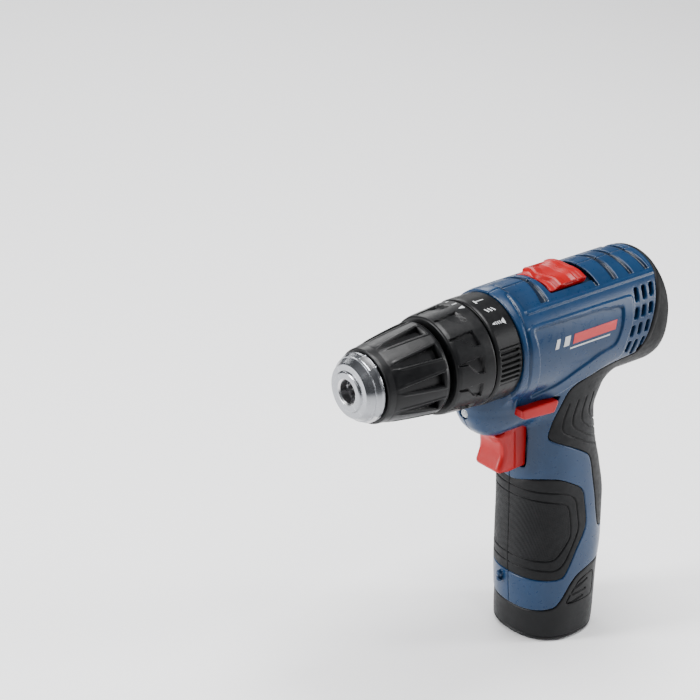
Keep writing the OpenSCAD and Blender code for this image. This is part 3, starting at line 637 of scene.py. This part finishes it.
def facing_out(points, faces):
    """Turns the faces round if they face inwards."""
    p = points[faces]
    normal = np.cross(p[:, 1] - p[:, 0], p[:, 2] - p[:, 0])
    volume = (p[:, 0] * normal).sum()
    return faces if volume > 0 else faces[:, ::-1]


def mesh_piece(name, points, faces, crease=None):
    """An object from points in millimetres."""
    mesh = bpy.data.meshes.new(name)
    faces = np.asarray(faces, np.int32)
    mesh.vertices.add(len(points))
    mesh.vertices.foreach_set("co", (np.asarray(points) * 0.001).astype(np.float32).ravel())
    mesh.loops.add(faces.size)
    mesh.loops.foreach_set("vertex_index", faces.ravel())
    mesh.polygons.add(len(faces))
    mesh.polygons.foreach_set("loop_start", np.arange(len(faces), dtype=np.int32) * faces.shape[1])
    mesh.update()
    mesh.validate()
    mesh.shade_smooth()
    if crease:
        mesh.set_sharp_from_angle(angle=math.radians(crease))
    obj = bpy.data.objects.new(name, mesh)
    bpy.context.scene.collection.objects.link(obj)
    return obj


def mirrored(name, piece):
    """The same piece on the other side of the drill."""
    source = piece.data
    p = np.empty(len(source.vertices) * 3)
    source.vertices.foreach_get("co", p)
    p = p.reshape(-1, 3) * (1000, -1000, 1000)
    faces = np.empty(len(source.loops), np.int32)
    source.loops.foreach_get("vertex_index", faces)
    return mesh_piece(name, p, faces.reshape(-1, 4)[:, ::-1])


# ---- turned pieces ----

def dense(profile, step):
    """Points along a closed profile of (x, radius), no further apart than step."""
    out = []
    for a, b in zip(profile, profile[1:] + profile[:1]):
        n = max(1, int(math.hypot(b[0] - a[0], b[1] - a[1]) / step))
        out += [(a[0] + (b[0] - a[0]) * i / n, a[1] + (b[1] - a[1]) * i / n) for i in range(n)]
    return np.array(out)


def turned(name, profile, around_count=360, step=0.5, relief=None, crease=32):
    """Turns a closed profile about the chuck's axis; relief(x, angle, r) moves its skin."""
    ring = dense(profile, step)
    x, r = ring[:, 0][:, None], ring[:, 1][:, None]
    angle = np.linspace(0, 2 * math.pi, around_count, endpoint=False)[None, :]
    x, r, angle = np.broadcast_arrays(x, r, angle)
    if relief:
        r = r + relief(x, angle, r)
    p = np.stack([x, r * np.cos(angle), AXIS + r * np.sin(angle)], -1).reshape(-1, 3)
    m, n = len(ring), around_count
    i, j = np.meshgrid(np.arange(m), np.arange(n), indexing="ij")
    a, b = i * n + j, i * n + (j + 1) % n
    c, d = ((i + 1) % m) * n + (j + 1) % n, ((i + 1) % m) * n + j
    faces = np.stack([a, b, c, d], -1).reshape(-1, 4)
    return mesh_piece(name, p, facing_out(p, faces), crease)


def repeat(angle, count, phase=0.0):
    """The angle from the nearest of count evenly spaced places, in degrees."""
    pitch = 360 / count
    return (np.degrees(angle) - phase + pitch / 2) % pitch - pitch / 2


def sleeve_relief(x, angle, r):
    """Ten pockets, square and deep at the rear, that run out towards the front."""
    a = repeat(angle, 10, 8) * r * math.pi / 180
    half = np.interp(x, [88.4, 112], [3.15, 0.9])
    end = np.maximum(np.abs(a) - half, 88.4 - x)
    depth = np.interp(x, [88.4, 112], [2.6, 0.1])
    pocket = depth * step_up(end, 0.22)
    lip = 0.35 * step_up(np.abs(end - 0.9) - 0.55, 0.4) * step_up(x - 110, 2)
    skin = step_up(86.4 - x, 0.3) * step_up(x - 113, 0.3) * (r > 17.2)
    return skin * (lip - pocket)


def torque_relief(x, angle, r):
    """Twelve hooked finger recesses."""
    a = repeat(angle, 12, 12) * r * math.pi / 180
    hook = [(81.0, 3.4), (68.5, 4.2), (67.6, -3.4), (70.8, -3.0), (73.4, -0.6), (75.6, 2.0), (81.0, 2.5)]
    d = to_outline(x, a, hook)
    skin = (r > 22.4) * step_up(64 - x, 0.5)
    return -1.3 * step_up(d, 0.3) * skin


def mode_relief(x, angle, r):
    """Two blocks of grip ribs."""
    deg = (np.degrees(angle) + 180) % 360 - 180
    near = np.minimum(np.abs(deg - 2.5), np.abs((deg + 2.5) % 360 - 180))
    a = near * r * math.pi / 180
    ribs = step_up(0.25 + np.cos(2 * math.pi * near / 6.0), 0.55)
    patch = step_up(a - 8.9, 0.3) * step_up(46.9 - x, 0.3) * step_up(x - 58.2, 0.3)
    return -1.25 * ribs * patch * (r > 24.8)


def nose_relief(x, angle, r):
    """A shallow key flat on the nose's rear band."""
    a = np.abs(repeat(angle, 3, 70)) * r * math.pi / 180
    return -0.35 * step_up(a - 4.2, 0.12) * step_up(118.4 - x, 0.1) * step_up(x - 121.4, 0.6) * (r > 14.5)


# ---- printed marks ----

def band_mesh(name, strips, radius, thick=0.07):
    """Thin raised marks; each strip is a list of (x, arc) quads wrapped round a radius."""
    points, faces = [], []
    for quad in strips:
        n = 6
        base = len(points)
        for lift in (0, thick):
            for i in range(n + 1):
                for j in range(n + 1):
                    u, v = i / n, j / n
                    q = [(1 - u) * (1 - v), u * (1 - v), u * v, (1 - u) * v]
                    x = sum(w * c[0] for w, c in zip(q, quad))
                    s = sum(w * c[1] for w, c in zip(q, quad))
                    r = (radius(x) if callable(radius) else radius) + lift
                    t = s / PRINT_RADIUS
                    points.append((x, r * math.cos(t), AXIS + r * math.sin(t)))
        row = n + 1
        under, over = base, base + row * row
        for i in range(n):
            for j in range(n):
                a = i * row + j
                cell = [a, a + row, a + row + 1, a + 1]
                faces.append([over + c for c in cell])
                faces.append([under + c for c in cell[::-1]])
        edge = ([i * row for i in range(row)] + [n * row + j for j in range(1, row)]
                + [i * row + n for i in range(n - 1, -1, -1)] + list(range(n - 1, 0, -1)))
        for a, b in zip(edge, edge[1:] + edge[:1]):
            faces.append([under + a, under + b, over + b, over + a])
    points = np.array(points)
    return mesh_piece(name, points, facing_out(points, np.array(faces)), 30)


def bar(x0, s0, x1, s1, w0, w1=None):
    """A straight mark from one place to another, w0 wide at its start and w1 at its end."""
    w1 = w0 if w1 is None else w1
    dx, ds = x1 - x0, s1 - s0
    n = math.hypot(dx, ds)
    px, ps = -ds / n / 2, dx / n / 2
    return [(x0 + px * w0, s0 + ps * w0), (x1 + px * w1, s1 + ps * w1),
            (x1 - px * w1, s1 - ps * w1), (x0 - px * w0, s0 - ps * w0)]


def mode_marks():
    """A hammer, a drill spiral and a screw, each from a few bars."""
    deg = PRINT_RADIUS * math.pi / 180
    marks = []
    s = 84 * deg
    marks += [bar(50.8, s, 56.2, s, 0.55), bar(55.8, s - 1.5, 55.8, s + 1.2, 1.0, 0.7)]
    s = 67 * deg
    marks += [bar(50.4 + 1.9 * k, s - 1.1, 51.8 + 1.9 * k, s + 1.1, 0.8, 0.55) for k in range(3)]
    s = 50 * deg
    marks += [bar(49.6, s, 51.4, s, 3.4, 1.0)]
    marks += [bar(52.0 + 1.2 * k, s - 0.8, 52.5 + 1.2 * k, s + 0.8, 0.5) for k in range(3)]
    marks += [bar(55.4, s, 56.8, s, 1.3, 0.4)]
    return marks


def torque_marks():
    """Ticks and an arrowhead for the collar's steps."""
    deg = PRINT_RADIUS * math.pi / 180
    marks = []
    for k in range(9):
        s = (95 + 13 * k) * deg
        marks.append(bar(62.6, s, 64.2 if k % 2 else 65.2, s, 0.7))
    marks.append(bar(62.4, 84 * deg, 65.2, 84 * deg, 2.3, 0.4))
    return marks


def panel_marks():
    """A plain stripe and a thin line on the side panel, in place of lettering."""
    def at(a):
        return a * PRINT_RADIUS * math.pi / 180
    red = [[(15.6, at(4.0)), (-11.6, at(4.0)), (-13.2, at(13.6)), (14.0, at(13.6))]]
    white = [[(17.4, at(-0.6)), (-8.0, at(-0.6)), (-8.3, at(1.0)), (17.1, at(1.0))],
             [(21.4, at(4.0)), (18.0, at(4.0)), (16.4, at(13.6)), (19.8, at(13.6))],
             [(26.6, at(4.0)), (24.4, at(4.0)), (22.8, at(13.6)), (25.0, at(13.6))]]
    return red, white


# ---- materials ----

def node(tree, kind, **inputs):
    n = tree.nodes.new(kind)
    for key, value in inputs.items():
        if key in n.inputs:
            n.inputs[key].default_value = value
        else:
            setattr(n, key, value)
    return n


def noise(tree, vector, scale, detail=2.0, rough=0.5):
    n = node(tree, "ShaderNodeTexNoise", Scale=scale, Detail=detail, Roughness=rough)
    tree.links.new(vector, n.inputs["Vector"])
    return n.outputs["Fac"]


def ranged(tree, value, low, high, start=0.3, end=0.7):
    n = tree.nodes.new("ShaderNodeMapRange")
    for key, v in (("From Min", start), ("From Max", end), ("To Min", low), ("To Max", high)):
        n.inputs[key].default_value = v
    tree.links.new(value, n.inputs["Value"])
    return n.outputs["Result"]


def mixed(tree, factor, a, b):
    n = tree.nodes.new("ShaderNodeMix")
    n.data_type = "RGBA"
    tree.links.new(factor, n.inputs["Factor"])
    for socket, value in ((n.inputs[6], a), (n.inputs[7], b)):
        if isinstance(value, tuple):
            socket.default_value = (*value, 1)
        else:
            tree.links.new(value, socket)
    return n.outputs[2]


def start_material(name, metallic=0.0, **sockets):
    mat = bpy.data.materials.new(name)
    mat.use_nodes = True
    tree = mat.node_tree
    shader = tree.nodes["Principled BSDF"]
    shader.inputs["Metallic"].default_value = metallic
    for key, value in sockets.items():
        shader.inputs[key.replace("_", " ")].default_value = value
    place = tree.nodes.new("ShaderNodeTexCoord").outputs["Object"]
    return mat, tree, shader, place


def add_bump(tree, shader, height, strength, distance):
    n = node(tree, "ShaderNodeBump", Strength=strength, Distance=distance)
    tree.links.new(height, n.inputs["Height"])
    tree.links.new(n.outputs["Normal"], shader.inputs["Normal"])


def crevice(tree, reach):
    """0 in a narrow groove or seam, 1 on the open surface; the mask for painted shade in creases."""
    n = node(tree, "ShaderNodeAmbientOcclusion", Distance=reach, samples=6)
    return ranged(tree, n.outputs["AO"], 0.0, 1.0, 0.25, 0.85)


def groove_floor_shade(tree, place):
    """0 on the floors of the barrel's top grooves, 1 elsewhere; the mask for painted shade on those floors.
    """
    split = tree.nodes.new("ShaderNodeSeparateXYZ")
    tree.links.new(place, split.inputs[0])
    rise = node(tree, "ShaderNodeMath", operation="SUBTRACT")
    rise.inputs[1].default_value = AXIS * 0.001
    tree.links.new(split.outputs["Z"], rise.inputs[0])
    across = tree.nodes.new("ShaderNodeCombineXYZ")
    tree.links.new(split.outputs["Y"], across.inputs["Y"])
    tree.links.new(rise.outputs[0], across.inputs["Z"])
    radius = node(tree, "ShaderNodeVectorMath", operation="LENGTH")
    tree.links.new(across.outputs[0], radius.inputs[0])
    light = ranged(tree, radius.outputs["Value"], 0.0, 1.0, 0.02595, 0.0264)
    for value, start, end in ((split.outputs["X"], 0.037, 0.038), (rise.outputs[0], 0.017, 0.015)):
        high = node(tree, "ShaderNodeMath", operation="MAXIMUM")
        tree.links.new(light, high.inputs[0])
        tree.links.new(ranged(tree, value, 0.0, 1.0, start, end), high.inputs[1])
        light = high.outputs[0]
    return light


def edge_wear_highlight(tree, low=0.52, high=0.6):
    """Rises on raised edges: partly wear where handling polishes the surface, partly painted highlight."""
    geometry = tree.nodes.new("ShaderNodeNewGeometry")
    return ranged(tree, geometry.outputs["Pointiness"], 0.0, 1.0, low, high)


def moulded(name, colour, rough, grain=3200.0, bump=0.25, crease_shade=None, grooves=False, **sockets):
    """Moulded plastic or rubber: fine grain, faint flow marks, and painted shade in seams and grooves."""
    mat, tree, shader, place = start_material(name, **sockets)
    broad = noise(tree, place, 55.0, 3.0)
    mid = noise(tree, place, 420.0, 4.0, 0.6)
    fine = noise(tree, place, grain, 2.0)
    dark = tuple(c * 0.86 for c in colour)
    light = tuple(min(1, c * 1.1 + 0.002) for c in colour)
    tone = mixed(tree, ranged(tree, broad, 0.0, 1.0), dark, light)
    # painted shade: the floors of the barrel's top grooves darkened to 0.3 of the colour
    if grooves:
        tone = mixed(tree, groove_floor_shade(tree, place), tuple(c * 0.3 for c in colour), tone)
    # painted shade: seams and grooves darkened by ambient occlusion to a quarter of the colour
    if crease_shade:
        tone = mixed(tree, crevice(tree, crease_shade), tuple(c * 0.25 for c in colour), tone)
    tree.links.new(tone, shader.inputs["Base Color"])
    tree.links.new(ranged(tree, mid, rough * 0.86, rough * 1.16), shader.inputs["Roughness"])
    add_bump(tree, shader, fine, bump, 0.00012)
    return mat


def turned_metal(name, colour, rough, lines=9000.0, bump=0.25):
    """Metal turned on a lathe: fine lines that run round the chuck's axis."""
    mat, tree, shader, place = start_material(name, 1.0)
    split = tree.nodes.new("ShaderNodeSeparateXYZ")
    tree.links.new(place, split.inputs[0])
    flat = tree.nodes.new("ShaderNodeCombineXYZ")
    tree.links.new(split.outputs["Y"], flat.inputs["Y"])
    lower = node(tree, "ShaderNodeMath", operation="SUBTRACT")
    lower.inputs[1].default_value = AXIS * 0.001
    tree.links.new(split.outputs["Z"], lower.inputs[0])
    tree.links.new(lower.outputs[0], flat.inputs["Z"])
    length = node(tree, "ShaderNodeVectorMath", operation="LENGTH")
    tree.links.new(flat.outputs[0], length.inputs[0])
    rings = tree.nodes.new("ShaderNodeCombineXYZ")
    tree.links.new(split.outputs["X"], rings.inputs["X"])
    tree.links.new(length.outputs["Value"], rings.inputs["Y"])
    cut = noise(tree, rings.outputs[0], lines, 3.0, 0.7)
    cloud = noise(tree, place, 160.0, 3.0)
    dark = tuple(c * 0.8 for c in colour)
    tone = mixed(tree, ranged(tree, cut, 0.0, 1.0), dark, colour)
    # wear and painted highlight: raised edges lightened to 1.25 times the colour
    tone = mixed(tree, edge_wear_highlight(tree, 0.53, 0.62), tone, tuple(min(1, c * 1.25) for c in colour))
    tree.links.new(tone, shader.inputs["Base Color"])
    tree.links.new(ranged(tree, cloud, rough * 0.8, rough * 1.25), shader.inputs["Roughness"])
    add_bump(tree, shader, cut, bump, 0.00004)
    return mat


def cast_metal(name, colour, rough, grain=1500.0, bump=0.4):
    """Sintered, drawn or cast metal: fine pits and an oily sheen that varies."""
    mat, tree, shader, place = start_material(name, 1.0)
    pits = noise(tree, place, grain, 4.0, 0.65)
    film = noise(tree, place, 120.0, 3.0)
    tone = mixed(tree, ranged(tree, film, 0.0, 1.0), tuple(c * 0.72 for c in colour), colour)
    tree.links.new(tone, shader.inputs["Base Color"])
    tree.links.new(ranged(tree, pits, rough * 0.75, rough * 1.3), shader.inputs["Roughness"])
    add_bump(tree, shader, pits, bump, 0.00008)
    return mat


def wound_copper():
    """Copper wire laid side by side."""
    mat, tree, shader, place = start_material("copper_winding", 0.9)
    wave = node(tree, "ShaderNodeTexWave", Scale=900.0, Distortion=0.6, Detail=1.0)
    tree.links.new(place, wave.inputs["Vector"])
    film = noise(tree, place, 300.0)
    tree.links.new(mixed(tree, ranged(tree, film, 0, 1), (0.42, 0.14, 0.05), (0.75, 0.32, 0.14)),
                   shader.inputs["Base Color"])
    tree.links.new(ranged(tree, film, 0.25, 0.45), shader.inputs["Roughness"])
    add_bump(tree, shader, wave.outputs["Fac"], 0.6, 0.0002)
    return mat


def make_materials():
    return {
        "blue": moulded("blue_housing", (0.0016, 0.022, 0.066), 0.30, 900.0, 0.1, grooves=True,
                        Specular_IOR_Level=0.3),
        "rubber": moulded("soft_grip", (0.0035, 0.0038, 0.0045), 0.55, 1100.0, 0.3, 0.002,
                          Specular_IOR_Level=0.16),
        "black": moulded("black_nylon", (0.003, 0.0032, 0.0038), 0.36, 1000.0, 0.12, 0.003,
                         Specular_IOR_Level=0.18),
        "cap": moulded("battery_black", (0.0035, 0.0038, 0.0045), 0.45, 1000.0, 0.25, 0.002,
                       Specular_IOR_Level=0.18),
        "red": moulded("red_plastic", (0.30, 0.0012, 0.0025), 0.34, 900.0, 0.08,
                       Specular_IOR_Level=0.22),
        "nose": turned_metal("nose_steel", (0.33, 0.34, 0.36), 0.24),
        "steel": turned_metal("turned_steel", (0.62, 0.62, 0.63), 0.26),
        "hard": turned_metal("hard_steel", (0.36, 0.36, 0.37), 0.34, 5000.0),
        "gear": cast_metal("sintered_gear", (0.42, 0.40, 0.37), 0.42),
        "spring": cast_metal("spring_wire", (0.50, 0.50, 0.52), 0.28, 2500.0, 0.2),
        "can": cast_metal("plated_can", (0.58, 0.58, 0.60), 0.30, 900.0, 0.15),
        "magnet": cast_metal("ferrite", (0.07, 0.07, 0.075), 0.6, 1200.0),
        "copper": wound_copper(),
        "brass": cast_metal("contact_brass", (0.78, 0.60, 0.30), 0.28, 1500.0, 0.15),
        "cell": moulded("cell_sleeve", (0.03, 0.22, 0.12), 0.28, 1500.0, 0.1),
        "carbon": moulded("carbon_brush", (0.02, 0.02, 0.02), 0.6, 2500.0, 0.5),
        "board": moulded("circuit_board", (0.01, 0.11, 0.04), 0.4, 1800.0, 0.3),
        "wire": moulded("red_wire", (0.45, 0.02, 0.015), 0.45, 1800.0, 0.2),
        "white": moulded("white_print", (0.50, 0.51, 0.52), 0.5, 2500.0, 0.1),
        "stripe": moulded("red_print", (0.42, 0.006, 0.010), 0.42, 2500.0, 0.1),
        "lens": moulded("lamp_lens", (0.75, 0.80, 0.85), 0.12, 900.0, 0.05,
                        Transmission_Weight=0.6, IOR=1.49),
    }


CAD_LOOKS = {
    "hard": "housing_screws chuck_jaw_1 chuck_jaw_2 chuck_jaw_3 chuck_screw clutch_balls "
            "spindle_bearings",
    "steel": "rotor_shaft spindle chuck_nut chuck_body",
    "gear": "shift_ring ring_gear_1 ring_gear_3 planet_1a planet_1b planet_1c planets_2 "
            "planet_3a planet_3b planet_3c carrier_1 carrier_2 sun_gear_1 "
            "hammer_ratchet_fixed armature",
    "spring": "trigger_spring clutch_spring shift_fork",
    "can": "motor_can clutch_plate",
    "magnet": "motor_magnets",
    "carbon": "motor_brushes",
    "copper": "windings commutator",
    "brass": "battery_terminals",
    "cell": "battery_cells",
    "board": "led_board",
    "wire": "power_leads",
    "lens": "led_lens",
    "black": "trigger_switch motor_end_cap gear_case battery_case contact_block",
}


def dress_cad(looks):
    """Gives each CAD node that stays its procedural material."""
    for look, names in CAD_LOOKS.items():
        for name in names.split():
            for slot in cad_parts[name].material_slots:
                slot.material = looks[look]


def settle(piece, body, material, slot, *nodes):
    """Puts a finished piece on its body, in place of its CAD nodes."""
    piece.data.materials.append(material)
    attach(piece, body)
    if nodes:
        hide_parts(*nodes)


# ---- building ----

def build_shell(looks):
    cell = 0.5
    left = field_piece("shell_left", housing(1), (-50, -1, 15), (60, 28.5, 190.5), cell)
    settle(left, "housing", looks["blue"], "blue_plastic", "housing_left")
    right = field_piece("shell_right", housing(-1), (-50, -28.5, 15), (60, 1, 190.5), cell)
    settle(right, "housing", looks["blue"], "blue_plastic", "housing_right")
    for front in (True, False):
        word = "front" if front else "back"
        box = ((-8, -0.6, 32), (35, 27, 92)) if front else ((-50, -0.6, 53), (20, 28.5, 190.5))
        a = field_piece("skin_%s_left" % word, grip(1, front), *box, 0.34 if front else 0.42)
        settle(a, "housing", looks["rubber"], "black_rubber", "%s_grip_left" % word)
        if front:
            b = mirrored("skin_front_right", a)
        else:
            flip = ((-50, -28.5, 53), (20, 0.6, 190.5))
            b = field_piece("skin_back_right", grip(-1, False), *flip, 0.42)
        settle(b, "housing", looks["rubber"], "black_rubber", "%s_grip_right" % word)


def build_battery(looks):
    cap = field_piece("cap_shell", battery_cap, (-28, -26, -1), (28, 26, 41), 0.42)
    settle(cap, "battery", looks["cap"], "black_plastic", "battery_cap")
    left = field_piece("latch_pad_left", latch, (-13, 14, 18), (8, 26, 36), 0.25)
    settle(left, "latch_left_button", looks["cap"], "black_plastic", "latch_left")
    right = mirrored("latch_pad_right", left)
    settle(right, "latch_right_button", looks["cap"], "black_plastic", "latch_right")


def build_controls(looks):
    pull = field_piece("trigger_pad", trigger, (25, -10, 94), (46, 10, 120), 0.3)
    settle(pull, "trigger_lever", looks["red"], "red_plastic", "trigger")
    rocker = field_piece("reverse_bar", direction_switch, (16, -24, 127), (43, 24, 137), 0.3)
    settle(rocker, "direction_slider", looks["red"], "red_plastic", "direction_switch")
    thumb = field_piece("speed_slide", selector, (-6, -14, 184), (18, 14, 193), 0.22)
    settle(thumb, "selector_slider", looks["red"], "red_plastic", "gear_selector")
    plate = field_piece("slide_apron", apron, (-16, -13, 180), (22, 13, 188), 0.25)
    settle(plate, "selector_slider", looks["blue"], "blue_plastic")


def build_rings(looks):
    sleeve = turned("sleeve_shell", [
        (84.9, 16.9), (84.9, 20.6), (85.3, 21.2), (85.9, 21.5), (87, 21.5), (92, 21.0), (100, 20.0),
        (112, 18.2), (113, 18.0), (113.3, 17.85), (116.6, 17.6), (117.2, 17.45), (117.5, 17.0), (117.5, 14.6),
        (100.2, 14.6), (100.2, 17.95), (90.2, 17.95), (90.2, 16.9)], 720, 0.4, sleeve_relief, 40)
    settle(sleeve, "gripping_sleeve", looks["black"], "black_plastic", "chuck_sleeve")
    torque = turned("torque_shell", [
        (60.7, 20.8), (60.7, 24.2), (60.9, 24.6), (61.4, 24.9), (66, 24.7), (80.2, 23.6), (82.0, 23.2),
        (82.5, 22.7), (82.6, 22.2), (82.6, 14.6), (80.4, 14.6), (80.4, 19.0), (63.2, 19.0), (63.2, 20.8)],
        720, 0.4, torque_relief, 40)
    settle(torque, "torque_collar", looks["black"], "black_plastic", "torque_ring")
    mode = turned("mode_shell", [
        (45.3, 21.6), (45.3, 24.9), (45.5, 25.2), (46.0, 25.4), (58.8, 25.4), (59.9, 25.1),
        (60.3, 24.6), (60.3, 20.8), (47.5, 20.8), (47.5, 21.6)], 720, 0.4, mode_relief, 40)
    settle(mode, "mode_collar", looks["black"], "black_plastic", "mode_ring")
    nose = turned("chuck_nose_shell", [
        (118.0, 15.0), (118.0, 15.8), (118.3, 16.1), (118.8, 16.2), (120.1, 16.2), (120.4, 16.0),
        (125.7, 12.8), (126.1, 12.4), (126.2, 11.7), (126.35, 9.7), (126.6, 9.5), (127.1, 9.3),
        (127.42, 8.8), (127.42, 6.6), (127.2, 6.1), (126.7, 5.6), (124.0, 5.6), (122.6, 6.0), (122.6, 15.0)],
        360, 0.3, nose_relief, 30)
    settle(nose, "output", looks["nose"], "steel")


def build_marks(looks):
    marks = band_mesh("mode_icons", mode_marks(), 25.38)
    settle(marks, "mode_collar", looks["white"], "black_plastic")
    ticks = band_mesh("torque_ticks", torque_marks(), lambda x: 24.92 - 0.04 * (x - 61.4))
    settle(ticks, "torque_collar", looks["white"], "black_plastic")
    red, white = panel_marks()
    stripe = band_mesh("side_stripe", red, BARREL - 0.36)
    settle(stripe, "housing", looks["stripe"], "red_plastic")
    lines = band_mesh("side_lines", white, BARREL - 0.36)
    settle(lines, "housing", looks["white"], "blue_plastic")


# ---- camera, floor and light ----

def add_camera():
    """A long lens that looks down on the drill from its front left."""
    data = bpy.data.cameras.new("camera")
    data.lens = 123.42
    data.sensor_width = 36
    data.clip_end = 50
    camera = bpy.data.objects.new("camera", data)
    right = (-0.78042, 0.62513, 0.01286)
    up = (-0.25687, -0.33930, 0.90493)
    back = (0.57006, 0.70292, 0.42537)
    spot = (0.72364, 0.73724, 0.62832)
    rows = [[right[i], up[i], back[i], spot[i]] for i in range(3)] + [[0, 0, 0, 1]]
    camera.matrix_world = Matrix(rows)
    bpy.context.scene.collection.objects.link(camera)
    bpy.context.scene.camera = camera


def add_light(name, place, aim, size, power, tone=(1, 1, 1)):
    data = bpy.data.lights.new(name, "AREA")
    data.shape = "RECTANGLE"
    data.size, data.size_y = size
    data.energy = power
    data.color = tone
    light = bpy.data.objects.new(name, data)
    direction = Matrix.Translation(place).translation - Matrix.Translation(aim).translation
    light.rotation_euler = direction.to_track_quat("Z", "Y").to_euler()
    light.location = place
    bpy.context.scene.collection.objects.link(light)


def pale_floor():
    """Paper: nearly white, with a fibre grain too fine to read as a pattern."""
    mat, tree, shader, place = start_material("pale_floor", Specular_IOR_Level=0.2)
    grain = noise(tree, place, 1800.0, 2.0)
    tree.links.new(mixed(tree, ranged(tree, grain, 0.0, 1.0), (0.92, 0.92, 0.93), (0.95, 0.95, 0.955)),
                   shader.inputs["Base Color"])
    shader.inputs["Roughness"].default_value = 0.8
    add_bump(tree, shader, grain, 0.05, 0.00005)
    return mat


def add_floor():
    """A wide flat floor just under the base, four metres to each side."""
    n, half = 24, 4.0
    axis = np.linspace(-half, half, n + 1)
    x, y = np.meshgrid(axis, axis, indexing="ij")
    points = np.stack([x, y, np.zeros_like(x) - 0.0002], -1).reshape(-1, 3) * 1000
    i, j = np.meshgrid(np.arange(n), np.arange(n), indexing="ij")
    a = i * (n + 1) + j
    faces = np.stack([a, a + n + 1, a + n + 2, a + 1], -1).reshape(-1, 4)
    floor = mesh_piece("floor", points, faces)
    floor.data.materials.append(pale_floor())
    floor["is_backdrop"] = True


def add_studio():
    world = bpy.data.worlds.new("studio")
    bpy.context.scene.world = world
    world.use_nodes = True
    world.node_tree.nodes["Background"].inputs["Color"].default_value = (0.93, 0.95, 1.0, 1)
    world.node_tree.nodes["Background"].inputs["Strength"].default_value = 0.16
    aim = (0.03, 0.0, 0.12)
    add_light("front", (1.1, -0.5, 0.5), aim, (0.3, 0.8), 26)
    add_light("top", (-0.1, 0.0, 1.35), aim, (0.8, 0.45), 30)
    add_light("side", (-1.05, 0.8, 0.45), aim, (0.28, 0.8), 16)
    add_light("over", (0.2, 0.75, 1.3), aim, (0.16, 0.3), 3)
    add_light("far", (-0.4, -1.2, 0.8), aim, (0.8, 0.6), 9)


def save_sizes():
    sizes = [[[float(v) for v in corner] for corner in box] for box in (CAD_BOX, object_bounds())]


def main():
    looks = make_materials()
    dress_cad(looks)
    build_shell(looks)
    build_battery(looks)
    build_controls(looks)
    build_rings(looks)
    build_marks(looks)
    add_floor()
    add_studio()
    add_camera()
    save_sizes()


main()
